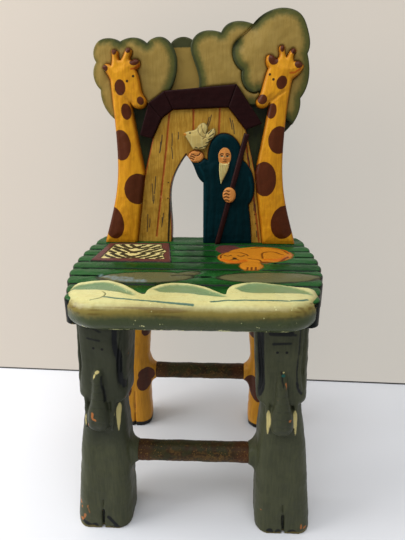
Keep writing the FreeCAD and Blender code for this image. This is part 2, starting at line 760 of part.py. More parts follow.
def back_pieces():
    """Every piece of the back, leant and standing on the seat."""
    giraffe_faces = {side: outline(giraffe_runs(side)) for side in (-1, 1)}
    giraffes = {side: relief(face, GIRAFFE_THICK) for side, face in giraffe_faces.items()}
    boards = roof_boards()
    arch_face = outline(pattern_runs(ARCH))
    arch = arch_face.extrude(Vector(0, 2 * BACKER_THICK, 0))
    arch = arch.fuse(arch_face.extrude(Vector(0, -2 * HOUSE_THICK, 0)))
    tree_left_face = outline(pattern_runs(TREE_LEFT))
    tree_right_face = outline(pattern_runs(TREE_RIGHT))
    lobe_tool = relief(outline(pattern_runs(LOBE)), 2 * LOBE_THICK)
    cap_face = outline(pattern_runs(CROWN_CAP))
    front = list(giraffes.values()) + list(boards.values())
    staff = relief(staff_face(), STAFF_THICK, HOUSE_THICK)
    face = relief(oval(*FACE), FACE_THICK, ROBE_THICK - FACE_THICK)
    raised_hand = relief(oval(*RAISED_HAND), ROBE_THICK)
    staff_hand = relief(oval(*STAFF_HAND), HAND_THICK, ROBE_THICK)
    beard = relief(outline(pattern_runs(BEARD)), BEARD_THICK, ROBE_THICK)
    robe = relief(outline(pattern_runs(ROBE)), ROBE_THICK)
    tree_right = cut_all(relief(tree_right_face, LOBE_THICK), front)
    pieces = dict(boards)
    pieces["giraffe_left"] = giraffes[-1]
    pieces["giraffe_right"] = giraffes[1]
    pieces["tree_left"] = cut_all(relief(tree_left_face, TREE_THICK), front)
    pieces["tree_right"] = tree_right.cut(lobe_tool).common(relief(tree_right_face, TREE_THICK))
    pieces["tree_right_lobe"] = tree_right.common(lobe_tool)
    pieces["house_wall"] = cut_all(house_wall(), [arch, robe, raised_hand])
    pieces["robe"] = cut_all(robe, [raised_hand, staff, face])
    pieces["face"] = face
    pieces["beard"] = beard
    pieces["raised_hand"] = raised_hand.cut(arch)
    pieces["staff"] = staff
    pieces["staff_hand"] = staff_hand.cut(staff)
    pieces["dove"] = cut_all(relief(outline(pattern_runs(DOVE)), DOVE_THICK, HOUSE_THICK), [robe, raised_hand])
    outlines = list(giraffe_faces.values()) + [tree_left_face, tree_right_face, cap_face]
    pieces["backer_board"] = backer(outlines).cut(arch)
    return {name: largest(stand(shape)) for name, shape in pieces.items()}


def all_pieces():
    """Every named piece of the chair in its place."""
    front_x = SEAT_WIDTH / 2 - FRONT_LEG_INSET_X
    front_y = NOSE_Y + FRONT_LEG_INSET_Y
    rear_x = SEAT_WIDTH / 2 - REAR_LEG_INSET_X
    rear_y = REAR_Y - REAR_LEG_INSET_Y
    waist = 0.5 * (0.93 * ELEPHANT_FOOT_WIDTH + 0.5 * (ELEPHANT_FOOT_WIDTH + ELEPHANT_NECK_WIDTH))
    front = {}
    rear = {}
    for name, side in (("left", -1), ("right", 1)):
        x = side * front_x
        front[name] = Leg(x, front_y, FRONT_SPLAY_OUT, FRONT_SPLAY_FORE, FRONT_STRETCHER_HEIGHT, waist)
        x = side * rear_x
        rear[name] = Leg(x, rear_y, REAR_SPLAY_OUT, -REAR_SPLAY_BACK, REAR_STRETCHER_HEIGHT, SHIN_WIDTH)
    legs = list(front.values()) + list(rear.values())
    pieces = {}
    for name in front:
        pieces["front_leg_" + name] = elephant_leg(front[name])
        pieces["rear_leg_" + name] = giraffe_leg(rear[name])
    pieces["front_stretcher"] = stretcher(front["left"], front["right"])
    pieces["rear_stretcher"] = stretcher(rear["left"], rear["right"])
    pieces["leg_wedges"] = Part.makeCompound([leg.wedge() for leg in legs])
    back = back_pieces()
    for name in ("giraffe_left", "giraffe_right"):
        back[name] = cut_all(back[name], giraffe_dowels(FIT))
    back["backer_board"] = cut_all(back["backer_board"], back_dowels(FIT))
    pieces.update(back)
    pieces["back_dowels"] = Part.makeCompound(back_dowels())
    pieces["giraffe_dowels"] = Part.makeCompound(giraffe_dowels())
    rail = rail_blank()
    sockets = [leg.tenon(FIT) for leg in legs]
    grooves = [groove_cutter(y) for y in groove_lines()]
    deck = cut_all(deck_blank(), grooves + [rail] + sockets)
    pieces["seat_deck"] = cut_all(deck, back_dowels(FIT) + giraffe_dowels(FIT))
    pieces["wave_rail"] = rail
    return pieces


def main():
    """Centres the chair's box on the origin, standing on the floor, and writes one file per piece."""
    os.makedirs("parts", exist_ok=True)
    pieces = all_pieces()
    box = Part.makeCompound(list(pieces.values())).optimalBoundingBox(False, False)
    shift = Placement(Vector(-(box.XMin + box.XMax) / 2, -(box.YMin + box.YMax) / 2, 0), Rotation())
    for name, shape in pieces.items():
        moved(shape, shift).exportStep(os.path.join("parts", name + ".step"))
        print(name, [round(solid.Volume) for solid in shape.Solids], shape.isValid())
    print("shift", shift.Base, "box", box)


main()
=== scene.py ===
"""A carved and painted child's chair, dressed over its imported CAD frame."""

import math

import bpy
import numpy as np
from mathutils import Matrix, Vector, geometry, noise


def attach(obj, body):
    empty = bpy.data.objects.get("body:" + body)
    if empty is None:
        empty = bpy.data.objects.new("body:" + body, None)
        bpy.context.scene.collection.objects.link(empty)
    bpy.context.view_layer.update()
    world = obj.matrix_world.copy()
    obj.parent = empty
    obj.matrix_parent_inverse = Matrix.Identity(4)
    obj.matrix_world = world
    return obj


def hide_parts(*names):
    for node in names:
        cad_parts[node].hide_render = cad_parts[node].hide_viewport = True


bl_info = {
    "name": "Painted child's chair",
    "version": (1, 0, 0),
    "blender": (4, 5, 0),
    "location": "View3D > Sidebar > Chair",
    "description": "Carves and paints a child's chair over its CAD frame",
    "category": "Object",
}

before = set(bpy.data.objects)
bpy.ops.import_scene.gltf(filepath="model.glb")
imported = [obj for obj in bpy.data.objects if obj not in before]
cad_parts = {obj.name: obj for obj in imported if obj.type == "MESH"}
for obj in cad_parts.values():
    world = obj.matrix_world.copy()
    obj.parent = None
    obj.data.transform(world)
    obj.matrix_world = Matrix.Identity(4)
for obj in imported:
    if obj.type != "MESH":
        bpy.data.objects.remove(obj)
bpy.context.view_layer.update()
MM = 1000.0
FAR = 99.0


# Settings

def linear(red, green, blue):
    """A colour given in screen values, as the linear light that shaders take."""
    channels = []
    for value in (red / 255, green / 255, blue / 255):
        channels.append(value / 12.92 if value <= 0.04045 else ((value + 0.055) / 1.055) ** 2.4)
    return tuple(channels)


def colour(name, about, red, green, blue):
    """A colour setting."""
    return bpy.props.FloatVectorProperty(
        name=name, description=about, subtype="COLOR", size=3, min=0.0, max=1.0,
        default=linear(red, green, blue)
    )


def length(name, about, metres):
    """A length setting."""
    return bpy.props.FloatProperty(name=name, description=about, unit="LENGTH", default=metres, precision=4)


class ChairSizes(bpy.types.PropertyGroup):
    """How finely and how softly the pieces are carved."""

    rake: bpy.props.FloatProperty(
        name="Rake", description="Lean of the back", subtype="ANGLE", default=math.radians(4.0)
    )
    relief_step: length("Relief step", "Spacing of the points on the back's carvings", 0.0012)
    deck_step: length("Deck step", "Spacing of the points on the seat", 0.0013)
    carving_step: length("Carving step", "Voxel size of the legs, rail and stretchers", 0.0012)
    groove_depth: length("Groove depth", "Depth of the grooves between planks", 0.004)
    plank_pitch: length("Plank pitch", "Width of one plank of the deck", 0.0255)
    gouge_depth: length("Gouge depth", "How much the carver's tool left the faces uneven", 0.0004)


class ChairColours(bpy.types.PropertyGroup):
    """The paints."""

    giraffe_yellow: colour("Giraffe yellow", "Coat of the giraffes", 200, 139, 24)
    giraffe_shade: colour("Giraffe shade", "Darker brushing on the coat", 160, 96, 14)
    spot_brown: colour("Spot brown", "Giraffe spots, horns and ears", 66, 23, 10)
    tree_tan: colour("Tree tan", "Middle of the leaf clumps", 136, 112, 54)
    tree_straw: colour("Tree straw", "Lighter brushing in the leaf clumps", 154, 130, 70)
    tree_green: colour("Tree green", "Shaded rim of the leaf clumps", 62, 70, 32)
    tree_dark: colour("Tree dark", "Edge line of the leaf clumps", 46, 52, 30)
    backer_green: colour("Backer green", "Board behind the carvings", 42, 48, 32)
    house_ochre: colour("House ochre", "House boards", 148, 108, 32)
    house_straw: colour("House straw", "Paler brushing on the house boards", 184, 144, 58)
    house_line: colour("House line", "Lines between the house boards", 140, 58, 18)
    house_grain: colour("House grain", "Grain strokes on the house boards", 36, 32, 36)
    roof_maroon: colour("Roof maroon", "Roof boards", 28, 9, 9)
    roof_red: colour("Roof red", "Worn edges of the roof", 42, 16, 15)
    robe_teal: colour("Robe teal", "Robe and hood", 0, 26, 30)
    robe_light: colour("Robe light", "Brush marks on the robe", 8, 52, 60)
    skin: colour("Skin", "Face and hands", 190, 124, 62)
    skin_shade: colour("Skin shade", "Lines on the face and hands", 52, 24, 14)
    cream: colour("Cream", "Wave crests, and the whites of the eyes", 194, 193, 136)
    bird_straw: colour("Bird straw", "Bird, beard, tusks and panes of the hatch", 192, 178, 118)
    bird_tan: colour("Bird tan", "Bird", 176, 152, 88)
    cream_shade: colour("Cream shade", "Lines on the beard and bird", 120, 108, 66)
    staff_brown: colour("Staff brown", "Staff", 40, 16, 14)
    deck_green: colour("Deck green", "Seat planks", 30, 78, 34)
    # Near-black paint for the sides of the seat, and painted shadow in the grooves between planks
    deck_dark_and_groove_shadow: colour("Deck dark", "Grooves and sides of the seat", 3, 8, 6)
    grass: colour("Grass", "Grass brushed over the seat", 10, 48, 12)
    hatch_brown: colour("Hatch brown", "Frame of the hatch", 84, 44, 42)
    black: colour("Black", "Stripes, eyes and hooves", 16, 15, 16)
    orange: colour("Orange", "Sleeping animal on the seat", 166, 104, 24)
    orange_red: colour("Orange red", "Lines of the sleeping animal", 164, 70, 12)
    swimmer_grey: colour("Swimmer grey", "Long animals behind the waves", 84, 82, 54)
    # Painted highlight: pale blue-grey strokes along the lower left side of the left long animal
    swimmer_highlight_blue: colour("Swimmer blue", "Wet lower sides of the long animals", 112, 128, 134)
    wave_sage: colour("Wave sage", "Hollows of the waves", 82, 116, 82)
    wave_teal: colour("Wave teal", "Lines of the waves", 30, 82, 74)
    # The gold front and green underside of the rail are paint, made darker downwards as painted shade
    roll_gold: colour("Roll gold", "Front of the rail", 116, 101, 43)
    roll_green: colour("Roll green", "Underside of the rail", 50, 62, 32)
    elephant_grey: colour("Elephant grey", "Front legs", 70, 72, 50)
    # Darker brushing on both front legs; also painted shade over the upper part of the left leg, under the
    # seat
    elephant_dark_and_shade: colour("Elephant dark", "Darker brushing on the front legs", 48, 51, 38)
    # Near-black lines; on the ears the wide bands are also painted shade
    elephant_line: colour("Elephant line", "Lines of the ears, trunk and toes", 15, 17, 20)
    bare_wood: colour("Bare wood", "Wood under chipped paint", 164, 100, 50)
    stick_brown: colour("Stick brown", "Stretchers", 58, 42, 22)
    stick_dark: colour("Stick dark", "Darker mottling on the stretchers", 36, 28, 16)
    stick_moss: colour("Stick moss", "Green mottling on the stretchers", 48, 48, 26)
    stick_red: colour("Stick red", "Ends of the stretchers", 78, 40, 22)
    stick_gold: colour("Stick gold", "Flecks on the stretchers", 118, 88, 42)
    floor: colour("Floor", "Floor", 214, 216, 221)
    wall: colour("Wall", "Wall behind", 145, 123, 101)
    wall_glow: colour("Wall glow", "Even light that the wall gives back", 163, 167, 165)
    # Painted shadow: a dark strip where the wall meets the floor
    wall_foot_shadow: colour("Wall foot shadow", "Shadow gap at the foot of the wall", 62, 60, 57)
    roll_streak: colour("Roll streak", "Brown brushing on the front of the rail", 92, 72, 28)


def sizes():
    return bpy.context.scene.chair_sizes


def colours():
    return bpy.context.scene.chair_colours


# Points on the carver's pattern and on the CAD solids

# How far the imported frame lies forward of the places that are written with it
SHIFT = 8.483

# The middle of the backer board's face where it meets the seat
BACK_FOOT = np.array([0.0, 111.0 - SHIFT, 306.0])


def back_axes():
    """Right, up the back, and out of its face."""
    rake = sizes().rake
    up = np.array([0.0, math.sin(rake), math.cos(rake)])
    out = np.array([0.0, -math.cos(rake), math.sin(rake)])
    return np.array([[1.0, 0.0, 0.0], up, out])


class Plane:
    """A drawing plane: local points are across, along and out of it, in millimetres."""

    def __init__(self, origin, axes):
        self.origin = np.array(origin)
        self.axes = np.array(axes)

    def local(self, points):
        return (points - self.origin) @ self.axes.T

    def world(self, points):
        return points @ self.axes + self.origin


def back_plane():
    return Plane(BACK_FOOT, back_axes())


def seat_plane():
    return Plane((0.0, 0.0, 0.0), np.eye(3))


def node_mesh(name):
    """Corner points in millimetres and triangles of a CAD node."""
    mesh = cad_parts[name].data
    points = np.empty(len(mesh.vertices) * 3)
    mesh.vertices.foreach_get("co", points)
    mesh.calc_loop_triangles()
    triangles = np.empty(len(mesh.loop_triangles) * 3, dtype=int)
    mesh.loop_triangles.foreach_get("vertices", triangles)
    return points.reshape(-1, 3) * MM, triangles.reshape(-1, 3)


def footprint(name, plane, front=False):
    """Closed loops round a node's rear or front face on a drawing plane, and its lowest and highest level."""
    points, triangles = node_mesh(name)
    local = plane.local(points)
    _, first, merged = np.unique(np.round(local, 2), axis=0, return_index=True, return_inverse=True)
    merged = merged.reshape(-1)
    local = local[first]
    corners = merged[triangles]
    a, b, c = (local[corners[:, i]] for i in range(3))
    normal = np.cross(b - a, c - a)
    size = np.linalg.norm(normal, axis=1)
    facing = 1.0 if front else -1.0
    level = (facing * local[:, 2]).max()
    flat = (size > 1e-9) & (facing * normal[:, 2] > 0.98 * size) & (facing * a[:, 2] > level - 0.05)
    follow = {}
    for triangle in corners[flat]:
        for i in range(3):
            edge = (triangle[i], triangle[(i + 1) % 3])
            if follow.pop((edge[1], edge[0]), None) is None:
                follow[edge] = True
    after = {}
    for start, end in follow:
        after.setdefault(start, []).append(end)
    loops = []
    while after:
        start = next(iter(after))
        ring = [start]
        point = start
        while True:
            ends = after[point]
            step = ends.pop()
            if not ends:
                del after[point]
            if step == start:
                break
            ring.append(step)
            point = step
        loops.append(local[ring][:, :2])
    return sorted(loops, key=lambda ring: -abs(ring_area(ring))), local[:, 2].min(), local[:, 2].max()


def ring_area(ring):
    x, y = ring[:, 0], ring[:, 1]
    return 0.5 * np.sum(x * np.roll(y, -1) - np.roll(x, -1) * y)


def spaced(ring, step):
    """The ring with points no further apart than the step."""
    points = []
    for start, end in zip(ring, np.roll(ring, -1, axis=0)):
        count = max(1, int(math.ceil(np.linalg.norm(end - start) / step)))
        for i in range(count):
            points.append(start + (end - start) * (i / count))
    kept = [points[0]]
    for point in points[1:]:
        if np.linalg.norm(point - kept[-1]) > 0.35 * step:
            kept.append(point)
    return np.array(kept)


# Distances in millimetres, for carving and for painting

def to_segments(points, starts, ends):
    """Distance from each point to the nearest of the segments."""
    best = np.full(len(points), FAR * FAR)
    for start, end in zip(starts, ends):
        along = end - start
        span = max(float(along @ along), 1e-9)
        share = np.clip(((points - start) @ along) / span, 0.0, 1.0)
        gap = points - (start + share[:, None] * along)
        best = np.minimum(best, np.einsum("ij,ij->i", gap, gap))
    return np.sqrt(best)


def to_rings(points, rings):
    best = np.full(len(points), FAR)
    for ring in rings:
        best = np.minimum(best, to_segments(points, ring, np.roll(ring, -1, axis=0)))
    return best


def inside(points, rings):
    """True where a point lies inside an odd number of rings."""
    odd = np.zeros(len(points), dtype=bool)
    x, y = points[:, 0], points[:, 1]
    for ring in rings:
        for (ax, ay), (bx, by) in zip(ring, np.roll(ring, -1, axis=0)):
            if ay == by:
                continue
            crosses = (ay > y) != (by > y)
            odd ^= crosses & (x < (bx - ax) * (y - ay) / (by - ay) + ax)
    return odd


def blob(points, *ovals):
    """Signed distance to the nearest oval: across, along, half width, half height, turn in degrees."""
    best = np.full(len(points), FAR)
    for across, along, half_width, half_height, turn in ovals:
        angle = math.radians(turn)
        dx = points[:, 0] - across
        dy = points[:, 1] - along
        u = (dx * math.cos(angle) + dy * math.sin(angle)) / half_width
        v = (-dx * math.sin(angle) + dy * math.cos(angle)) / half_height
        radius = np.sqrt(u * u + v * v)
        best = np.minimum(best, (radius - 1.0) * min(half_width, half_height))
    return best


def strokes(points, width, *lines):
    """Signed distance to brush strokes of one width, each a line of points."""
    best = np.full(len(points), FAR)
    for line in lines:
        path = np.array(line, dtype=float)
        best = np.minimum(best, to_segments(points, path[:-1], path[1:]))
    return best - width / 2


def shape(points, ring):
    """Signed distance to a closed shape, less than nothing inside it."""
    ring = np.array(ring, dtype=float)
    gap = to_rings(points, [ring])
    return np.where(inside(points, [ring]), -gap, gap)


def curve(points, steps=6):
    """A smooth line through the points."""
    path = np.array(points, dtype=float)
    padded = np.vstack([2 * path[0] - path[1], path, 2 * path[-1] - path[-2]])
    line = []
    for p0, p1, p2, p3 in zip(padded, padded[1:], padded[2:], padded[3:]):
        for i in range(steps):
            t = i / steps
            line.append(0.5 * (2 * p1 + (p2 - p0) * t + (2 * p0 - 5 * p1 + 4 * p2 - p3) * t * t
                               + (3 * p1 - p0 - 3 * p2 + p3) * t ** 3))
    line.append(path[-1])
    return np.array(line)


def smooth(low, high, values):
    """A soft step from nothing at low to one at high."""
    share = np.clip((values - low) / (high - low), 0.0, 1.0)
    return share * share * (3 - 2 * share)


def ripple(points, size):
    """Seeded unevenness between minus one and one, with hollows of this size in millimetres."""
    return np.array([noise.noise(Vector(p) / size) for p in points])


# Meshes

def make_object(name, points, faces, paint):
    """A piece from points in millimetres, with its paint layers as point attributes."""
    mesh = bpy.data.meshes.new(name)
    mesh.from_pydata((np.asarray(points) / MM).tolist(), [], faces)
    mesh.validate()
    mesh.shade_smooth()
    mesh.set_sharp_from_angle(angle=math.radians(50))
    for layer, values in paint.items():
        attribute = mesh.attributes.new(layer, "FLOAT", "POINT")
        attribute.data.foreach_set("value", np.asarray(values, dtype=np.float32))
    piece = bpy.data.objects.new(name, mesh)
    bpy.context.scene.collection.objects.link(piece)
    return piece


def finish_piece(piece, nodes, material):
    """Rides a piece on the chair and lets it stand for its CAD nodes."""
    piece.data.materials.append(material)
    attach(piece, "root")
    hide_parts(*nodes)


def inner_points(rings, step, rounding):
    """Points inside the rings: lines along the rounded edge, then an even grid."""
    low = rings[0].min(axis=0)
    high = rings[0].max(axis=0)
    columns = np.arange(low[0], high[0], step)
    rows = np.arange(low[1], high[1], step * 0.866)
    grid = []
    for index, row in enumerate(rows):
        shift = 0.5 * step * (index % 2)
        grid.append(np.column_stack([columns + shift, np.full(len(columns), row)]))
    grid = np.vstack(grid)
    grid = grid[inside(grid, rings)]
    gap = to_rings(grid, rings)
    grid = grid[gap > max(0.5 * step, 0.62 * rounding)]
    lines = [grid]
    for share in (0.08, 0.35):
        for ring in rings:
            tangent = np.roll(ring, -1, axis=0) - np.roll(ring, 1, axis=0)
            tangent /= np.maximum(np.linalg.norm(tangent, axis=1), 1e-9)[:, None]
            for side in (-1, 1):
                normal = np.column_stack([-tangent[:, 1], tangent[:, 0]]) * side
                offset = ring + normal * (share * rounding)
                keep = inside(offset, rings)
                gap = to_rings(offset, rings)
                lines.append(offset[keep & (gap > 0.9 * share * rounding)])
    return np.vstack(lines)


def carve_flat(rings, base, top, rounding, step, carve, paint):
    """A carving with a rounded front edge. carve gives its height and paint its layers from local points.

    The rear is left without painted shapes."""
    rings = [spaced(ring, step) for ring in rings]
    edge_points = np.vstack(rings)
    edges = []
    start = 0
    for ring in rings:
        edges += [(start + i, start + (i + 1) % len(ring)) for i in range(len(ring))]
        start += len(ring)
    points = np.vstack([edge_points, inner_points(rings, step, rounding)])
    corners = [Vector(p) for p in points]
    flat, _, triangles, origins, _, _ = geometry.delaunay_2d_cdt(corners, edges, [], 0, 1e-4)
    flat = np.array([(p[0], p[1]) for p in flat])
    triangles = np.array([t for t in triangles if len(t) == 3])
    centres = flat[triangles].mean(axis=1)
    triangles = triangles[inside(centres, rings)]
    on_edge = np.array([any(i < len(edge_points) for i in source) for source in origins])
    gap = to_rings(flat, rings)
    gap[on_edge] = 0.0
    turn = np.clip(rounding - gap, 0.0, rounding)
    height = top - rounding + np.sqrt(np.maximum(rounding ** 2 - turn ** 2, 0.0))
    height = height + carve(flat, gap) * smooth(0.0, rounding, gap)
    front = np.column_stack([flat, height])
    rear = np.column_stack([flat, np.full(len(flat), base)])
    area = flat[triangles]
    spin = np.cross(area[:, 1] - area[:, 0], area[:, 2] - area[:, 0])
    triangles[spin < 0] = triangles[spin < 0][:, ::-1]
    used = {}
    for triangle in triangles:
        for i in range(3):
            used[(triangle[i], triangle[(i + 1) % 3])] = True
    count = len(flat)
    faces = triangles.tolist() + (triangles[:, ::-1] + count).tolist()
    for a, b in used:
        if (b, a) not in used:
            faces.append([int(b), int(a), int(a) + count, int(b) + count])
    local = np.vstack([front, rear])
    layers = {"edge_mm": np.concatenate([gap, gap])}
    for layer, values in paint(flat).items():
        layers[layer] = np.concatenate([values, np.where(on_edge, values, FAR)])
    return local, faces, layers


def stand_on_seat(local):
    """Slides the foot of a leaning carving down or up its face until it meets the level seat."""
    slope = math.tan(sizes().rake)
    foot = local[:, 1] < 2.0
    local[foot, 1] = np.maximum(local[foot, 1], 0.0) * 0.5 - local[foot, 2] * slope
    return local


def gouged(points, gap):
    """The uneven face that a gouge leaves."""
    flat = np.column_stack([points, np.zeros(len(points))])
    return sizes().gouge_depth * MM * (ripple(flat, 9.0) + 0.4 * ripple(flat + 50.0, 3.5))


def add_relief(name, nodes, material, rounding, carve=gouged, paint=None, lift=0.0, keep=None,
               front=False, detail=1.0):
    """One carving of the back, built from its CAD node's own outline."""
    plane = back_plane()
    rings, base, top = footprint(name, plane, front)
    rings = rings[:keep] if keep else rings
    step = sizes().relief_step * MM / detail
    painter = paint or (lambda points: {})
    local, faces, layers = carve_flat(rings, base, top + lift, rounding, step, carve, painter)
    piece = make_object(name + "_carved", plane.world(stand_on_seat(local)), faces, layers)
    finish_piece(piece, nodes, material)
    return piece


def add_solid_carving(name, material, relax, carve, paint, sink=0.0):
    """A round carving: the CAD solid remeshed evenly, softened, and then cut by carve.

    sink is how far its two ends are drawn out sideways, so that softened shoulders lie in what they meet."""
    copy = bpy.data.objects.new(name + "_blank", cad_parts[name].data.copy())
    bpy.context.scene.collection.objects.link(copy)
    remesh = copy.modifiers.new("Even mesh", "REMESH")
    remesh.mode = "VOXEL"
    remesh.voxel_size = sizes().carving_step
    soften = copy.modifiers.new("Soften", "SMOOTH")
    soften.factor = 0.5
    soften.iterations = relax
    depsgraph = bpy.context.evaluated_depsgraph_get()
    mesh = bpy.data.meshes.new_from_object(copy.evaluated_get(depsgraph))
    bpy.data.objects.remove(copy)
    count = len(mesh.vertices)
    points = np.empty(count * 3)
    mesh.vertices.foreach_get("co", points)
    points = points.reshape(-1, 3) * MM
    normals = np.empty(count * 3)
    mesh.vertices.foreach_get("normal", normals)
    normals = normals.reshape(-1, 3)
    layers = paint(points, normals)
    points = points + normals * carve(points, normals)[:, None]
    points[:, 0] *= 1.0 + sink / np.abs(points[:, 0]).max()
    points[:, 2] = np.maximum(points[:, 2], 0.0)
    faces = [list(polygon.vertices) for polygon in mesh.polygons]
    bpy.data.meshes.remove(mesh)
    piece = make_object(name + "_carved", points, faces, layers)
    finish_piece(piece, [name], material)
    return piece


# Shader node groups

def new_group(name, inputs, outputs):
    """A shader node group with named sockets: inputs and outputs are (name, kind, default)."""
    group = bpy.data.node_groups.new(name, "ShaderNodeTree")
    for label, kind, default in inputs:
        socket = group.interface.new_socket(label, in_out="INPUT", socket_type=kind)
        if default is not None:
            socket.default_value = default
    for label, kind in outputs:
        group.interface.new_socket(label, in_out="OUTPUT", socket_type=kind)
    return group, group.nodes.new("NodeGroupInput"), group.nodes.new("NodeGroupOutput")


def link(tree, source, target):
    tree.links.new(source, target)


def feed(tree, target, value):
    """Links a socket to a target, or sets the target's own value."""
    if isinstance(value, bpy.types.NodeSocket):
        tree.links.new(value, target)
    else:
        target.default_value = value


def math_node(tree, operation, first, second=0.0, third=0.0, clamp=False):
    node = tree.nodes.new("ShaderNodeMath")
    node.operation = operation
    node.use_clamp = clamp
    for socket, value in zip(node.inputs, (first, second, third)):
        feed(tree, socket, value)
    return node.outputs[0]


def mix_colour(tree, factor, first, second):
    node = tree.nodes.new("ShaderNodeMix")
    node.data_type = "RGBA"
    feed(tree, node.inputs["Factor"], factor)
    feed(tree, node.inputs["A"], first)
    feed(tree, node.inputs["B"], second)
    return node.outputs["Result"]


def soft_step(tree, value, low, high):
    """One where the value is above high, nothing where it is below low."""
    node = tree.nodes.new("ShaderNodeMapRange")
    node.interpolation_type = "SMOOTHSTEP"
    feed(tree, node.inputs["Value"], value)
    feed(tree, node.inputs["From Min"], low)
    feed(tree, node.inputs["From Max"], high)
    return node.outputs["Result"]


def noise_value(tree, vector, scale, detail=3.0, rough=0.55):
    node = tree.nodes.new("ShaderNodeTexNoise")
    feed(tree, node.inputs["Vector"], vector)
    feed(tree, node.inputs["Scale"], scale)
    node.inputs["Detail"].default_value = detail
    node.inputs["Roughness"].default_value = rough
    return node.outputs["Fac"]


def object_place(tree):
    return tree.nodes.new("ShaderNodeTexCoord").outputs["Object"]


def scaled_place(tree, scale):
    """Object coordinates stretched, so that noise turns into strokes."""
    node = tree.nodes.new("ShaderNodeVectorMath")
    node.operation = "MULTIPLY"
    feed(tree, node.inputs[0], object_place(tree))
    feed(tree, node.inputs[1], scale)
    return node.outputs[0]


def painted_shape_group():
    """A hand-painted shape from its distance in millimetres: a mask with a soft, wavering edge."""
    inputs = [("Distance", "NodeSocketFloat", 1.0), ("Softness", "NodeSocketFloat", 0.4),
              ("Waver", "NodeSocketFloat", 1.0), ("Scale", "NodeSocketFloat", 260.0)]
    group, source, result = new_group("painted_shape", inputs, [("Mask", "NodeSocketFloat")])
    grain = noise_value(group, object_place(group), source.outputs["Scale"])
    centred = math_node(group, "SUBTRACT", grain, 0.5)
    shifted = math_node(group, "MULTIPLY_ADD", centred, source.outputs["Waver"], source.outputs["Distance"])
    low = math_node(group, "MULTIPLY", source.outputs["Softness"], -1.0)
    outside = soft_step(group, shifted, low, source.outputs["Softness"])
    link(group, math_node(group, "SUBTRACT", 1.0, outside), result.inputs["Mask"])
    return group


def brush_streaks_group():
    """Paint laid on with a brush: two close colours in streaks, with blotches."""
    inputs = [("Paint", "NodeSocketColor", None), ("Second paint", "NodeSocketColor", None),
              ("Stretch", "NodeSocketVector", None), ("Amount", "NodeSocketFloat", 0.5)]
    group, source, result = new_group("brush_streaks", inputs, [("Color", "NodeSocketColor")])
    streak = noise_value(group, scaled_place(group, source.outputs["Stretch"]), 1.0, 4.0, 0.6)
    blotch = noise_value(group, object_place(group), 38.0, 3.0)
    both = math_node(group, "MULTIPLY_ADD", streak, 0.65, math_node(group, "MULTIPLY", blotch, 0.35))
    strong = soft_step(group, both, 0.38, 0.64)
    factor = math_node(group, "MULTIPLY", strong, source.outputs["Amount"])
    mixed = mix_colour(group, factor, source.outputs["Paint"], source.outputs["Second paint"])
    link(group, mixed, result.inputs["Color"])
    return group


def chipped_paint_group():
    """Where paint has chipped off: small flakes, more of them near worn edges."""
    inputs = [("Edge", "NodeSocketFloat", 10.0), ("Reach", "NodeSocketFloat", 3.0),
              ("Amount", "NodeSocketFloat", 0.3), ("Scale", "NodeSocketFloat", 140.0)]
    group, source, result = new_group("chipped_paint", inputs, [("Mask", "NodeSocketFloat")])
    grain = noise_value(group, object_place(group), source.outputs["Scale"], 4.0, 0.65)
    patches = noise_value(group, object_place(group), 22.0, 2.0)
    away = soft_step(group, source.outputs["Edge"], 0.0, source.outputs["Reach"])
    near = math_node(group, "SUBTRACT", 1.0, away)
    lift = math_node(group, "MULTIPLY_ADD", near, 0.16, math_node(group, "MULTIPLY", patches, 0.22))
    lifted = math_node(group, "ADD", grain, lift)
    level = math_node(group, "MULTIPLY_ADD", source.outputs["Amount"], 0.3, lifted)
    link(group, soft_step(group, level, 0.84, 0.87), result.inputs["Mask"])
    return group


def varnish_group():
    """Uneven old varnish: a roughness, and a height for the brush ridges under it."""
    inputs = [("Roughness", "NodeSocketFloat", 0.4), ("Stretch", "NodeSocketVector", None)]
    outputs = [("Roughness", "NodeSocketFloat"), ("Height", "NodeSocketFloat")]
    group, source, result = new_group("old_varnish", inputs, outputs)
    worn = noise_value(group, object_place(group), 60.0, 4.0)
    patchy = math_node(group, "SUBTRACT", worn, 0.5)
    spread = math_node(group, "MULTIPLY_ADD", patchy, 0.3, source.outputs["Roughness"])
    link(group, math_node(group, "MAXIMUM", spread, 0.12), result.inputs["Roughness"])
    ridges = noise_value(group, scaled_place(group, source.outputs["Stretch"]), 1.0, 3.0)
    dents = noise_value(group, object_place(group), 240.0, 3.0)
    link(group, math_node(group, "MULTIPLY_ADD", dents, 0.5, ridges), result.inputs["Height"])
    return group


def shared_group(name, build):
    return bpy.data.node_groups.get(name) or build()


def place_group(tree, name, build, values):
    node = tree.nodes.new("ShaderNodeGroup")
    node.node_tree = shared_group(name, build)
    for label, value in values.items():
        feed(tree, node.inputs[label], value)
    return node


def rgba(value):
    return (value[0], value[1], value[2], 1.0)


def layer_value(tree, name):
    node = tree.nodes.new("ShaderNodeAttribute")
    node.attribute_name = name
    return node.outputs["Fac"]


# How brush strokes are stretched that run up a piece, or across it
UPRIGHT = (420.0, 420.0, 36.0)
CROSSWISE = (36.0, 420.0, 420.0)


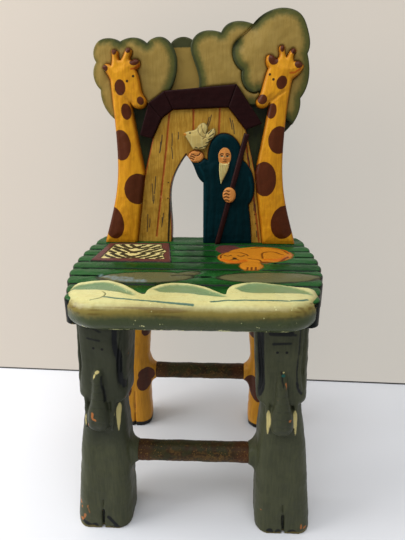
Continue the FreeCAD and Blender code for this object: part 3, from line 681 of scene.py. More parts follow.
def paint_material(name, first, second, layers=(), streak=UPRIGHT, amount=0.8, chips=0.2, chip=None,
                   reach=3.0, gloss=0.42, coat=0.03, rim=None, rim_reach=(1.0, 8.0), bump=0.25, shine=0.12,
                   chip_scale=140.0):
    """Brushed paint with a soft rim colour, painted shapes over it, chips and old varnish.

    Each layer is (attribute, colour, softness, waver in millimetres, strength)."""
    material = bpy.data.materials.new(name)
    material.use_nodes = True
    tree = material.node_tree
    shader = tree.nodes["Principled BSDF"]
    streaks = place_group(tree, "brush_streaks", brush_streaks_group, {
        "Paint": rgba(first), "Second paint": rgba(second), "Stretch": streak, "Amount": amount})
    paint = streaks.outputs["Color"]
    edge = layer_value(tree, "edge_mm")
    if rim is not None:
        far = place_group(tree, "painted_shape", painted_shape_group, {
            "Distance": math_node(tree, "SUBTRACT", edge, sum(rim_reach) / 2),
            "Softness": (rim_reach[1] - rim_reach[0]) / 2, "Waver": rim_reach[1], "Scale": 60.0})
        paint = mix_colour(tree, far.outputs["Mask"], paint, rgba(rim))
    for attribute, layer_colour, softness, waver, strength in layers:
        mask = place_group(tree, "painted_shape", painted_shape_group, {
            "Distance": layer_value(tree, attribute), "Softness": softness, "Waver": waver})
        factor = math_node(tree, "MULTIPLY", mask.outputs["Mask"], strength)
        paint = mix_colour(tree, factor, paint, rgba(layer_colour))
    flakes = place_group(tree, "chipped_paint", chipped_paint_group, {
        "Edge": edge, "Reach": reach, "Amount": chips, "Scale": chip_scale})
    wood = chip if chip is not None else colours().bare_wood
    paint = mix_colour(tree, flakes.outputs["Mask"], paint, rgba(wood))
    link(tree, paint, shader.inputs["Base Color"])
    varnish = place_group(tree, "old_varnish", varnish_group, {"Roughness": gloss, "Stretch": streak})
    rough = math_node(
        tree, "MULTIPLY_ADD", flakes.outputs["Mask"], 0.25, varnish.outputs["Roughness"], clamp=True)
    link(tree, rough, shader.inputs["Roughness"])
    height = math_node(tree, "MULTIPLY_ADD", flakes.outputs["Mask"], -0.6, varnish.outputs["Height"])
    relief = tree.nodes.new("ShaderNodeBump")
    relief.inputs["Strength"].default_value = bump
    relief.inputs["Distance"].default_value = 0.0006
    link(tree, height, relief.inputs["Height"])
    link(tree, relief.outputs["Normal"], shader.inputs["Normal"])
    shader.inputs["Coat Weight"].default_value = coat
    shader.inputs["Coat Roughness"].default_value = 0.25
    shader.inputs["Specular IOR Level"].default_value = shine
    return material


# Back

class CHAIR_OT_backer(bpy.types.Operator):
    """Makes the board behind the carvings"""

    bl_idname = "chair.backer"
    bl_label = "Backer board"

    def execute(self, context):
        c = colours()

        def paint(points):
            crest = shape(points, [(-44, 196), (-44, 290), (8, 290), (8, 196)])
            cap = shape(points, [(-48, 257), (-48, 290), (8, 290), (8, 257)])
            return {"crest_mm": crest, "cap_mm": cap}

        layers = [("crest_mm", c.tree_tan, 4.0, 6.0, 1.0), ("cap_mm", c.tree_dark, 1.0, 3.0, 0.95)]
        material = paint_material(
            "backer_paint", c.backer_green, c.tree_green, layers, amount=0.5, chips=-0.2)
        plane = back_plane()
        rings, base, top = footprint("backer_board", plane)
        step = 2 * sizes().relief_step * MM
        local, faces, layers = carve_flat(rings[:1], base, top, 1.0, step, gouged, paint)
        piece = make_object("backer_board_carved", plane.world(stand_on_seat(local)), faces, layers)
        finish_piece(piece, ["backer_board"], material)
        return {"FINISHED"}


def free_edges(ring, covers):
    """The ring's segments that no covering piece runs along."""
    ring = spaced(ring, 2.0)
    middle = 0.5 * (ring + np.roll(ring, -1, axis=0))
    free = to_rings(middle, covers) > 1.2
    return ring[free], np.roll(ring, -1, axis=0)[free]


# Where the right tree's front lobe runs into the tree without an edge, and how far it stands out elsewhere
LOBE_JOIN = [(66.2, 282.5), (56.4, 273.4), (49.0, 265.0)]
LOBE_STEP = 3.6


class CHAIR_OT_trees(bpy.types.Operator):
    """Makes the leaf clumps of the two trees"""

    bl_idname = "chair.trees"
    bl_label = "Trees"

    def execute(self, context):
        c = colours()
        layers = [("shade_mm", c.tree_green, 4.6, 6.0, 0.88), ("rim_mm", c.tree_dark, 1.8, 2.0, 0.85)]
        material = paint_material("tree_paint", c.tree_tan, c.tree_straw, layers, chips=-0.3, amount=0.5)
        plane = back_plane()
        in_front = ("giraffe_left", "giraffe_right", "house_wall") + ROOF
        covers = [footprint(name, plane)[0][0] for name in in_front]
        lobe = footprint("tree_right_lobe", plane)[0][0]
        for name, shadow_side in (("tree_left", 1.0), ("tree_right", -1.0), ("tree_right_lobe", -1.0)):
            others = covers + ([lobe] if name == "tree_right" else [])
            starts, ends = free_edges(footprint(name, plane)[0][0], others)
            if name == "tree_right_lobe":
                apart = strokes(starts, 10.0, LOBE_JOIN) > 0.0
                starts, ends = starts[apart], ends[apart]
            along = (ends - starts) / np.linalg.norm(ends - starts, axis=1)[:, None]
            turn = np.sign(ring_area(footprint(name, plane)[0][0]))
            deep = along[:, 1] * turn * shadow_side > 0.35
            lit = (along[:, 1] * turn < -0.35) & (shadow_side > 0)
            rim_width = 6.6 if shadow_side > 0 else 8.6

            # The green rim and its dark edge line are the clumps' own paint, drawn wider along edges on the
            # shadow side and narrower along lit edges: partly painted shade
            def paint(points, starts=starts, ends=ends, deep=deep, lit=lit, rim_width=rim_width):
                bright = to_segments(points, starts[lit], ends[lit]) + 4.5
                gap = np.minimum(to_segments(points, starts[~lit], ends[~lit]), bright)
                shadow = to_segments(points, starts[deep], ends[deep])
                return {
                    "shade_mm": np.minimum(gap - rim_width, shadow - 10.0),
                    "rim_mm": np.minimum(gap - 1.6, shadow - 3.6),
                }

            def swell(points, gap, name=name, starts=starts, ends=ends):
                rise = 1.4 * smooth(2.0, 16.0, to_segments(points, starts, ends)) - 1.0 + gouged(points, gap)
                if name != "tree_right_lobe":
                    return rise
                joined = 1.0 - smooth(3.0, 28.0, strokes(points, 0.0, LOBE_JOIN))
                return rise - LOBE_STEP * joined / np.maximum(smooth(0.0, 3.0, gap), 0.1)

            add_relief(name, [name], material, 3.0, swell, paint, detail=0.7)
        return {"FINISHED"}


ROOF = ("roof_left_eave", "roof_left_slope", "roof_ridge", "roof_right_slope")


class CHAIR_OT_house(bpy.types.Operator):
    """Makes the house wall and the roof boards"""

    bl_idname = "chair.house"
    bl_label = "House"

    def execute(self, context):
        c = colours()
        boards = [
            [(-40.4, 178), (-46, 128), (-54, 68), (-62, 8)],
            [(-8.4, 180), (-8.6, 152)],
            [(26.8, 181), (25.2, 140)],
            [(62.5, 136), (68, 104), (74.4, 69), (82.4, 20), (85, 2)],
            [(-63, 146), (-70, 118), (-77, 90), (-84, 50), (-90, 4)],
        ]
        grain = [
            (-51.0, 147, -3.4, 22), (-53.4, 138, -1.6, 14), (-37.5, 149, -0.4, 16), (-38.4, 131, 1.2, 15),
            (-61.2, 92, -2.4, 24), (-66.4, 82, 0.4, 24), (-64.0, 66, -1.2, 11), (-73.8, 39, -1.8, 25),
            (-71.0, 33, -1.0, 12), (-51.5, 41, -1.6, 13), (-53.4, 35, -0.8, 14), (40.2, 169, 3.2, 14),
            (43.6, 166, 3.0, 17), (75.6, 60, 0.5, 14), (77.6, 54, 0.6, 11), (66.4, 118, 2.0, 12),
            (64.6, 124, 1.4, 8), (80.6, 17, 0.8, 9), (-29, 151, -0.3, 9), (15.5, 173, -4, 14),
            (12.5, 170, -3, 10),
        ]
        nails = [(-43.6, 84), (-44.8, 62), (77.6, 40), (79.4, 27)]
        arch = curve([(-18.6, 121.9), (-26.5, 110), (-33.5, 96.2), (-39.8, 74.8), (-42.3, 47), (-43.7, 25.8),
                      (-45.1, 0)])

        def marks():
            lines = []
            for x, y, lean, drop in grain:
                lines.append([(x, y), (x + 0.5 * lean + 0.4, y - 0.5 * drop), (x + lean, y - drop)])
            return lines

        def paint(points):
            return {
                "board_mm": strokes(points, 2.5, *boards),
                "grain_mm": strokes(points, 1.3, *marks()),
                # Painted shadow: a black band along the arch opening, for the shade on its inner edge
                "arch_shadow_mm": strokes(points, 3.0, arch),
                "nail_mm": blob(points, *[(x, y, 1.0, 1.0, 0) for x, y in nails]),
            }

        def carve(points, gap):
            between = strokes(points, 0.0, *boards)
            return gouged(points, gap) - 0.7 * (1.0 - smooth(0.2, 1.8, between))

        # The black arch layer is painted shadow
        layers = [("board_mm", c.house_line, 0.9, 1.4, 0.9), ("grain_mm", c.house_grain, 0.45, 0.4, 0.9),
                  ("arch_shadow_mm", c.black, 0.8, 0.8, 0.95), ("nail_mm", c.black, 0.4, 0.3, 0.9)]
        wall = paint_material("house_paint", c.house_ochre, c.house_straw, layers, rim=c.house_line,
                              rim_reach=(0.0, 1.6), chips=0.06, amount=0.7)
        add_relief("house_wall", ["house_wall"], wall, 1.6, carve, paint, detail=1.6)
        roof = paint_material("roof_paint", c.roof_maroon, c.roof_red, amount=0.3, streak=CROSSWISE,
                              chips=0.05, chip=c.roof_red, gloss=0.45, coat=0.0, shine=0.06)
        for name in ROOF:
            add_relief(name, [name], roof, 1.6)
        return {"FINISHED"}


class CHAIR_OT_giraffes(bpy.types.Operator):
    """Makes the two giraffes' necks and heads"""

    bl_idname = "chair.giraffes"
    bl_label = "Giraffes"

    def execute(self, context):
        c = colours()
        spots = {
            -1: [(-104, 206.7, 7.4, 9.8, 4), (-97.2, 176.7, 6.6, 10.4, 8), (-106, 133.7, 13.4, 20, 3),
                 (-85.5, 75.3, 18.5, 21, -6), (-121.5, 28, 15, 23, 8), (-77.8, 190.3, 4.4, 5.4, 20)],
            1: [(105.8, 212.3, 6.8, 8.4, -24), (94.6, 177.6, 6.2, 9.8, -8), (106, 141, 14.5, 17.8, -3),
                (88.5, 89.7, 16, 23.2, 4), (117, 30.5, 17.5, 23.4, -6), (81.7, 191.9, 6.2, 6.2, 0)],
        }
        tips = {
            -1: [(-110.4, 250.5, 3.2, 4.6, 0), (-92.4, 252.5, 3.6, 4.6, 0), (-123.2, 230.4, 4.4, 3.8, -40),
                 (-84.6, 237.6, 6.2, 4.2, 12)],
            1: [(105, 253.0, 2.7, 4.8, 0), (119, 250.5, 3.2, 4.2, 0), (94, 240, 6.2, 7.0, 30),
                (126.6, 234.4, 5.4, 5.0, 20)],
        }
        eyes = {-1: [(-86.4, 220.4), (-94.3, 214.2)], 1: [(90.2, 222.0), (95.0, 216.0)]}
        rims = {
            -1: [curve([(-128, 229), (-122.5, 223), (-117.5, 216)]),
                 curve([(-89, 229), (-84, 230.5), (-79, 234)])],
            1: [curve([(116, 224), (122, 224.5), (129, 229)])],
        }
        layers = [("rim_mm", c.orange_red, 0.8, 1.0, 0.85), ("spots_mm", c.spot_brown, 0.4, 0.9, 0.97),
                  ("lines_mm", c.black, 0.35, 0.2, 0.95)]
        material = paint_material("giraffe_paint", c.giraffe_yellow, c.giraffe_shade, layers,
                                  rim=c.giraffe_shade, rim_reach=(0.2, 3.0), chips=-0.3, amount=0.45,
                                  chip=c.cream)
        for name, side in (("giraffe_left", -1), ("giraffe_right", 1)):

            def paint(points, side=side):
                return {
                    "spots_mm": blob(points, *(spots[side] + tips[side])),
                    "lines_mm": blob(points, *[(x, y, 1.7, 1.7, 0) for x, y in eyes[side]]),
                    "rim_mm": strokes(points, 2.4, *rims[side]),
                }

            def carve(points, gap, side=side):
                mirror = points * np.array([side, 1.0])
                muzzle = np.maximum(0.0, 1.0 - np.maximum(0.0, blob(mirror, (81, 193, 6, 10, -20))) / 8)
                jaw = strokes(mirror, 0.0, curve([(88, 187.5), (96, 191.5), (103, 197), (110, 202)]))
                crease = 1.2 * (1.0 - smooth(0.3, 3.0, jaw))
                return 2.0 * smooth(3.0, 16.0, gap) + muzzle + gouged(points, gap) - crease

            add_relief(name, [name], material, 5.0, carve, paint)
        return {"FINISHED"}


class CHAIR_OT_figure(bpy.types.Operator):
    """Makes the robed figure, its staff and the bird"""

    bl_idname = "chair.figure"
    bl_label = "Robed figure"

    def execute(self, context):
        c = colours()
        self.robe(c)
        self.face(c)
        self.hands(c)
        self.bird(c)
        staff = paint_material("staff_paint", c.staff_brown, c.roof_maroon, amount=0.6, chips=-0.3, gloss=0.4,
                               shine=0.08)
        add_relief("staff", ["staff"], staff, 2.6)
        return {"FINISHED"}

    def robe(self, c):
        folds = [
            curve([(10, 108), (14, 90), (14, 60), (11, 30), (10, 4)]),
            curve([(22, 100), (24, 70), (22, 40), (20, 8)]),
            curve([(46, 104), (56, 92), (60, 76), (54, 64)]),
            curve([(50, 56), (52, 36), (50, 6)]),
            curve([(61, 52), (63, 30), (63, 6)]),
            curve([(-6, 110), (2, 104), (9, 98)]),
        ]
        hood = [curve([(20, 112), (21, 128), (28, 137), (36, 138), (44, 131), (47, 116)])]

        def paint(points):
            soft = [curve([(7, 80), (8, 50), (7, 12)]), curve([(0, 106), (5, 96), (8, 84)]),
                    curve([(18, 138), (27, 145), (38, 144)]), curve([(68, 92), (71, 80), (70, 66)])]
            return {"fold_mm": strokes(points, 1.2, *(folds + hood)), "brush_mm": strokes(points, 2.6, *soft)}

        def carve(points, gap):
            depth = 0.4 * (1.0 - smooth(0.2, 3.0, strokes(points, 0.0, *(folds + hood))))
            face = blob(points, (34, 119, 9, 12.5, 0))
            beard = blob(points, (32, 98, 6, 16, 0))
            clear = smooth(1.0, 9.0, np.minimum(face, beard))
            pocket = 4.0 * (1.0 - smooth(-1.4, -0.6, face))
            return 1.4 * smooth(3.0, 14.0, gap) * clear + gouged(points, gap) - depth * clear - pocket

        layers = [("brush_mm", c.robe_light, 1.6, 3.0, 0.4), ("fold_mm", c.black, 1.0, 1.2, 0.15)]
        material = paint_material("robe_paint", c.robe_teal, c.robe_light, layers, amount=0.16, chips=0.0,
                                  chip=c.robe_light, gloss=0.5, coat=0.0, shine=0.05)
        add_relief("robe", ["robe"], material, 3.5, carve, paint, keep=1)

    def face(self, c):
        middle, level = 34.0, 119.0

        def paint(points):
            p = points - np.array([middle, level])
            brows = [curve([(-6.2, 3.2), (-3.8, 4.3), (-1.6, 3.6)]),
                     curve([(1.6, 3.6), (3.8, 4.3), (6.2, 3.2)])]
            lids = [curve([(-5.6, 1.0), (-3.7, 1.9), (-1.9, 1.0)]),
                    curve([(1.9, 1.0), (3.7, 1.9), (5.6, 1.0)])]
            nose = [curve([(-0.7, 1.2), (-0.9, -1.6), (-1.5, -3.2), (0.0, -3.8), (1.5, -3.2)])]
            lips = [curve([(-2.6, -6.2), (0.0, -5.8), (2.6, -6.2)])]
            return {
                "white_mm": blob(p, (-3.7, 0.8, 2.1, 1.2, 0), (3.7, 0.8, 2.1, 1.2, 0)),
                "lines_mm": np.minimum(strokes(p, 1.2, *(brows + lids)), strokes(p, 0.8, *(nose + lips))),
                "pupil_mm": blob(p, (-3.7, 0.8, 1.1, 1.1, 0), (3.7, 0.8, 1.1, 1.1, 0)),
                "blush_mm": blob(p, (-4.8, -2.6, 1.8, 1.5, 0), (4.8, -2.6, 1.8, 1.5, 0)),
            }

        def carve(points, gap):
            p = points - np.array([middle, level])
            nose = 1.0 - smooth(-0.6, 1.6, blob(p, (0.0, -1.6, 1.5, 3.0, 0)))
            sockets = 1.0 - smooth(-0.8, 1.8, blob(p, (-3.7, 1.0, 2.4, 1.6, 0), (3.7, 1.0, 2.4, 1.6, 0)))
            return 0.9 * smooth(1.0, 8.0, gap) + 1.1 * nose - 0.4 * sockets

        layers = [("blush_mm", c.orange_red, 1.6, 1.0, 0.3), ("white_mm", c.cream, 0.3, 0.2, 0.9),
                  ("lines_mm", c.skin_shade, 0.3, 0.2, 1.0), ("pupil_mm", c.black, 0.3, 0.1, 1.0)]
        skin = paint_material("skin_paint", c.skin, c.orange, layers, amount=0.25, chips=0.0, gloss=0.4)
        add_relief("face", ["face"], skin, 1.4, carve, paint, lift=0.5, detail=3.0)

        def hairs(points):
            locks = [curve([(28.5 + 2.6 * i, 108), (28.6 + 2.0 * i, 99), (28.8 + 0.6 * i, 87)])
                     for i in range(5)]
            lip = [curve([(28.5, 110.2), (31.5, 112), (33.8, 110.8), (36.1, 112), (39.2, 110.2)])]
            return {"lines_mm": strokes(points, 0.7, *(locks + lip))}

        strands = [("lines_mm", c.cream_shade, 0.4, 0.6, 0.7)]
        beard = paint_material("beard_paint", c.bird_straw, c.house_straw, strands, amount=0.5, chips=0.0)
        add_relief("beard", ["beard"], beard, 1.4, paint=hairs, detail=2.4)

    def hands(self, c):
        def raised(points):
            fingers = [curve([(-13.5 + 1.2 * i, 117 + 2.6 * i), (-10.5 + 1.2 * i, 116.4 + 2.6 * i),
                              (-8 + 1.2 * i, 114.8 + 2.6 * i)]) for i in range(3)]
            thumb = [curve([(1.5, 124.5), (-0.5, 121.5), (-3.5, 120)])]
            return {"lines_mm": strokes(points, 1.3, *(fingers + thumb))}

        def gripping(points):
            fingers = [curve([(33.6, 73 - 4.2 * i), (37, 74 - 4.2 * i), (41, 72.6 - 4.2 * i)])
                       for i in range(4)]
            return {"lines_mm": strokes(points, 1.3, *fingers)}

        layers = [("lines_mm", c.skin_shade, 0.4, 0.3, 0.85)]
        skin = paint_material("hand_paint", c.skin, c.orange, layers, amount=0.25, chips=0.0, gloss=0.4)
        for name, paint in (("raised_hand", raised), ("staff_hand", gripping)):

            def carve(points, gap, paint=paint):
                return -0.8 * (1.0 - smooth(0.0, 1.4, paint(points)["lines_mm"] + 0.35))

            add_relief(name, [name], skin, 3.0, carve, paint, front=True, detail=2.4)

    def bird(self, c):
        def paint(points):
            wing = [curve([(-2, 157), (-1, 150), (4, 145), (9, 144)]),
                    curve([(3, 161), (4, 153), (7.5, 148.5)]), curve([(9, 150), (8, 145.5), (5, 142)])]
            dark = [[(16.5, 153.5), (11.5, 149)], [(19, 149), (13.5, 145.5)], [(17, 144), (12, 141.5)],
                    [(13, 138.5), (8.5, 137)], [(10, 133.5), (5.5, 132.5)], [(4, 131.5), (-0.5, 130.5)],
                    [(-3, 130.6), (-6, 131.5)]]
            return {
                "lines_mm": strokes(points, 0.8, *wing),
                "dark_mm": strokes(points, 1.3, *dark),
                "eye_mm": blob(points, (-12.7, 149.8, 1.2, 1.2, 0)),
                "beak_mm": blob(points, (-20.4, 147.8, 3.0, 1.9, 0)),
            }

        def carve(points, gap):
            cut = 0.8 * (1.0 - smooth(0.0, 1.6, paint(points)["lines_mm"] + 0.4))
            return smooth(2.0, 9.0, gap) - cut

        layers = [("lines_mm", c.staff_brown, 0.4, 0.5, 0.7), ("dark_mm", c.elephant_line, 0.4, 0.4, 0.95),
                  ("beak_mm", c.orange, 0.5, 0.4, 0.95), ("eye_mm", c.black, 0.3, 0.1, 1.0)]
        material = paint_material("bird_paint", c.bird_tan, c.bird_straw, layers, rim=c.cream_shade,
                                  rim_reach=(0.0, 1.6), amount=0.6, chips=-0.2)
        add_relief("dove", ["dove"], material, 2.5, carve, paint, detail=2.0)


# Seat

def groove_lines():
    """Where the grooves between planks run, from the back to the front."""
    pitch = sizes().plank_pitch * MM
    return [89.0 - SHIFT - pitch * i for i in range(8)]


# The middle of the sleeping animal on the seat
CAT = (76.0, 38.0)


class CHAIR_OT_deck(bpy.types.Operator):
    """Makes the grooved seat with the pictures painted on it"""

    bl_idname = "chair.deck"
    bl_label = "Seat deck"

    def execute(self, context):
        c = colours()
        plane = seat_plane()
        rings, base, top = footprint("seat_deck", plane)
        step = sizes().deck_step * MM
        local, faces, layers = carve_flat(rings[:1], base, top, 3.0, step, self.carve, self.paint)
        piece = make_object("seat_deck_carved", local, faces, layers)
        # The groove layer is painted shadow in the grooves
        paint_layers = [
            ("grass_mm", c.grass, 6.0, 18.0, 0.8),
            ("groove_shadow_mm", c.deck_dark_and_groove_shadow, 0.7, 1.0, 1.0),
            ("swim_mm", c.swimmer_grey, 1.2, 2.0, 0.95),
            ("swim_highlight_mm", c.swimmer_highlight_blue, 3.0, 9.0, 0.65),
            ("swim_line_mm", c.black, 0.8, 1.2, 0.75),
            ("hatch_mm", c.hatch_brown, 0.6, 1.0, 0.97),
            ("pane_mm", c.bird_straw, 0.6, 1.4, 1.0),
            ("stripe_mm", c.black, 0.5, 5.0, 0.95),
            ("hatch_line_mm", c.black, 0.6, 1.6, 0.85),
            ("mane_mm", c.hatch_brown, 1.0, 2.0, 0.95),
            ("cat_mm", c.orange, 0.7, 1.2, 1.0),
            ("fur_mm", c.orange_red, 1.6, 3.0, 0.6),
            ("cat_line_mm", c.spot_brown, 0.6, 0.8, 0.85),
            ("cat_dark_mm", c.black, 0.4, 0.3, 0.9),
        ]
        material = paint_material("deck_paint", c.deck_green, c.grass, paint_layers, streak=CROSSWISE,
                                  amount=0.55, rim=c.deck_dark_and_groove_shadow, rim_reach=(0.2, 1.6), chips=-0.2,
                                  chip=c.roll_gold, gloss=0.3, coat=0.02, shine=0.07)
        finish_piece(piece, ["seat_deck"], material)
        return {"FINISHED"}

    def groove_gap(self, points):
        gap = np.full(len(points), FAR)
        for y in groove_lines():
            gap = np.minimum(gap, np.abs(points[:, 1] - y))
        return gap

    def picture(self, points):
        """Signed distance to the painted pictures, where the grooves are left flat."""
        animals = np.minimum(np.minimum(self.cat(points), self.mane(points)), self.swimmers(points))
        return np.minimum(self.hatch(points), animals)

    def hatch(self, points):
        return shape(points, [(-128, 84), (-135, 6), (-32, 3), (-43, 86)])

    def panes(self, points):
        return shape(points, [(-119, 78), (-125, 15), (-41, 14), (-46, 32), (-43, 48), (-51, 61), (-53, 79)])

    def stripes(self, points):
        lines = []
        for i in range(7):
            x = -120 + 13.5 * i
            turn = 1.0 if x < -82 else -1.0
            lines.append(curve([(x - 6 * turn, 82), (x + 3 * turn, 68), (x + 12 * turn, 60)]))
            lines.append(curve([(x - 10 * turn, 58), (x, 47), (x + 9 * turn, 40)]))
            lines.append(curve([(x - 8 * turn, 36), (x + turn, 26), (x + 12 * turn, 18)]))
        return np.maximum(strokes(points, 6.4, *lines), self.panes(points) + 1.0)

    def cat(self, points):
        x, y = CAT
        return blob(points, (x + 6, y + 2, 44, 34, 4), (x - 28, y - 12, 22, 24, 0),
                    (x - 8, y - 44, 15, 17, -20))

    def mane(self, points):
        return blob(points, (CAT[0] - 34, CAT[1] + 20, 18, 22, 20))

    def cat_lines(self, points):
        x, y = CAT
        mane = [(x - 28 + 18 * math.cos(a), y - 12 + 20 * math.sin(a)) for a in np.linspace(0.2, 3.4, 16)]
        back = curve([(x - 4, y + 24), (x + 16, y + 30), (x + 36, y + 20), (x + 44, y + 2)])
        haunch = curve([(x + 8, y - 18), (x + 10, y + 4), (x + 24, y + 10), (x + 36, y - 2)])
        tail = curve([(x + 42, y - 10), (x + 26, y - 28), (x + 6, y - 30)])
        leg = curve([(x - 10, y - 20), (x + 4, y - 26), (x + 6, y - 42)])
        toes = [[(x - 14 + 5 * i, y - 60), (x - 13 + 5 * i, y - 53)] for i in range(3)]
        inner = strokes(points, 2.4, mane, back, haunch, tail, leg, *toes)
        return np.minimum(inner, np.abs(self.cat(points)) - 1.0)

    def cat_fur(self, points):
        """Darker brushing along the back and the haunch, and under the chin."""
        x, y = CAT
        back = [curve([(x + 2, y + 31), (x + 22, y + 30), (x + 40, y + 18), (x + 48, y + 2)])]
        under = [curve([(x + 10, y - 24), (x + 28, y - 22), (x + 42, y - 10)]),
                 curve([(x - 44, y - 24), (x - 28, y - 33), (x - 14, y - 26)])]
        return np.maximum(strokes(points, 5.0, *(back + under)), self.cat(points))

    def cat_face(self, points):
        x, y = CAT[0] - 28, CAT[1] - 12
        lids = [curve([(x - 13, y + 3), (x - 8.5, y), (x - 4, y + 3)]),
                curve([(x + 4, y + 3), (x + 8.5, y), (x + 13, y + 3)])]
        mouth = curve([(x - 5, y - 15), (x, y - 11.5), (x + 5, y - 15)])
        nose = blob(points, (x, y - 8, 3.0, 3.4, 0))
        return np.minimum(strokes(points, 2.2, *lids, mouth), nose)

    def swimmers(self, points):
        return blob(points, (-56, -50, 55, 17, 4), (-10, -38, 17, 8, 20), (86, -46, 60, 16, 2))

    def swimmer_lines(self, points):
        low = [curve([(-112, -52), (-88, -66), (-52, -70), (-14, -60), (4, -44)]),
               curve([(26, -48), (44, -60), (84, -65), (124, -58), (142, -46)])]
        fins = [curve([(-22, -40), (-10, -36), (2, -34)]), curve([(-26, -48), (-14, -44), (0, -42)]),
                curve([(44, -36), (56, -32), (70, -34)])]
        return np.minimum(strokes(points, 2.4, *(low + fins)), np.abs(self.swimmers(points)) - 0.8)

    # Painted highlight along the lower left side of the left long animal
    def swimmer_highlight_strokes(self, points):
        return strokes(points, 3.4, curve([(-110, -46), (-98, -53), (-86, -57)]),
                       curve([(-92, -59), (-76, -63), (-56, -64)]), curve([(-84, -55), (-70, -59)]))

    def paint(self, points):
        shown = smooth(-1.0, 2.0, self.picture(points))
        return {
            # Painted shadow: the grooves are painted near black where no picture covers them
            "groove_shadow_mm": self.groove_gap(points) - 2.5 + FAR * (1.0 - shown),
            "grass_mm": blob(points, (4, 40, 22, 60, 0), (20, -14, 60, 20, 0), (60, 84, 60, 9, 0),
                             (-60, -16, 66, 13, 0), (120, -14, 30, 16, 0), (0, -76, 130, 12, 0)),
            "hatch_mm": self.hatch(points),
            "hatch_line_mm": np.minimum(np.abs(self.hatch(points)), np.abs(self.panes(points))) - 0.9,
            "pane_mm": self.panes(points),
            "stripe_mm": self.stripes(points),
            "cat_mm": self.cat(points),
            "cat_line_mm": np.maximum(self.cat_lines(points), self.cat(points)),
            "fur_mm": self.cat_fur(points),
            "cat_dark_mm": self.cat_face(points),
            "swim_mm": self.swimmers(points),
            "swim_highlight_mm": self.swimmer_highlight_strokes(points),
            "swim_line_mm": self.swimmer_lines(points),
            "mane_mm": self.mane(points),
        }

    def carve(self, points, gap):
        """Grooves, crowned planks and low pictures, with the wood sunk where the rail covers it."""
        depth = sizes().groove_depth * MM
        groove = 1.0 - smooth(0.4, 2.8, self.groove_gap(points))
        pictures = self.picture(points)
        shown = smooth(-1.0, 3.0, pictures)
        animals = np.minimum(self.cat(points), self.swimmers(points))
        swell = 1.3 * (1.0 - smooth(-7.0, 0.0, animals))
        frame_edge = 0.7 * (1.0 - smooth(-1.2, 0.0, self.hatch(points)))
        panes = 0.7 * (1.0 - smooth(-1.0, 0.4, self.panes(points)))
        lines = np.minimum(self.cat_lines(points), self.swimmer_lines(points))
        cuts = 0.6 * (1.0 - smooth(0.0, 1.6, lines + 0.5))
        under_rail = 4.0 * (1.0 - smooth(-112.0 - SHIFT, -108.0 - SHIFT, points[:, 1]))
        plank = (points[:, 1] - groove_lines()[0]) / (sizes().plank_pitch * MM)
        crown = 0.35 * np.cos(plank * 2 * math.pi + math.pi)
        raised = gouged(points, gap) + crown * shown - depth * groove * shown + swell + frame_edge
        return raised - panes - cuts - under_rail


# The hollows of the waves, the lines below them and the curl at their left end, seen from above
HOLLOWS = [
    [(-133, -97), (-122, -85), (-97, -76), (-78, -86), (-57, -111), (-78, -102), (-100, -97), (-118, -98)],
    [(-41, -94), (-28, -82.5), (-12, -80), (5, -84.5), (20, -96), (36, -111), (15, -108.5), (-8, -103),
     (-30, -102)],
    [(45.5, -88), (57, -76.5), (72, -72), (95, -78), (114, -88), (125, -103), (106, -99), (80, -100),
     (56, -98.5)],
]
WAVELETS = [
    [(-89, -116), (-65, -121), (-42, -124.5), (-20, -127.5), (3, -130)],
    [(21, -124.5), (38, -120.5), (57, -119.5), (82, -119), (106, -119), (117, -115)],
]
CURL = [(-100, -124), (-91, -118), (-88, -109), (-93, -101)]

# Heights on the rail: its chipped lower edge, the top of the green, the middle of the brown streaks,
# the lowest that waves are painted and that they are carved, and the top of the gold
RAIL_EDGE = 281.0
RAIL_GREEN = 297.5
RAIL_STREAKS = 299.0
RAIL_PAINTED = 300.0
RAIL_CARVED = 304.0
RAIL_GOLD = 306.6


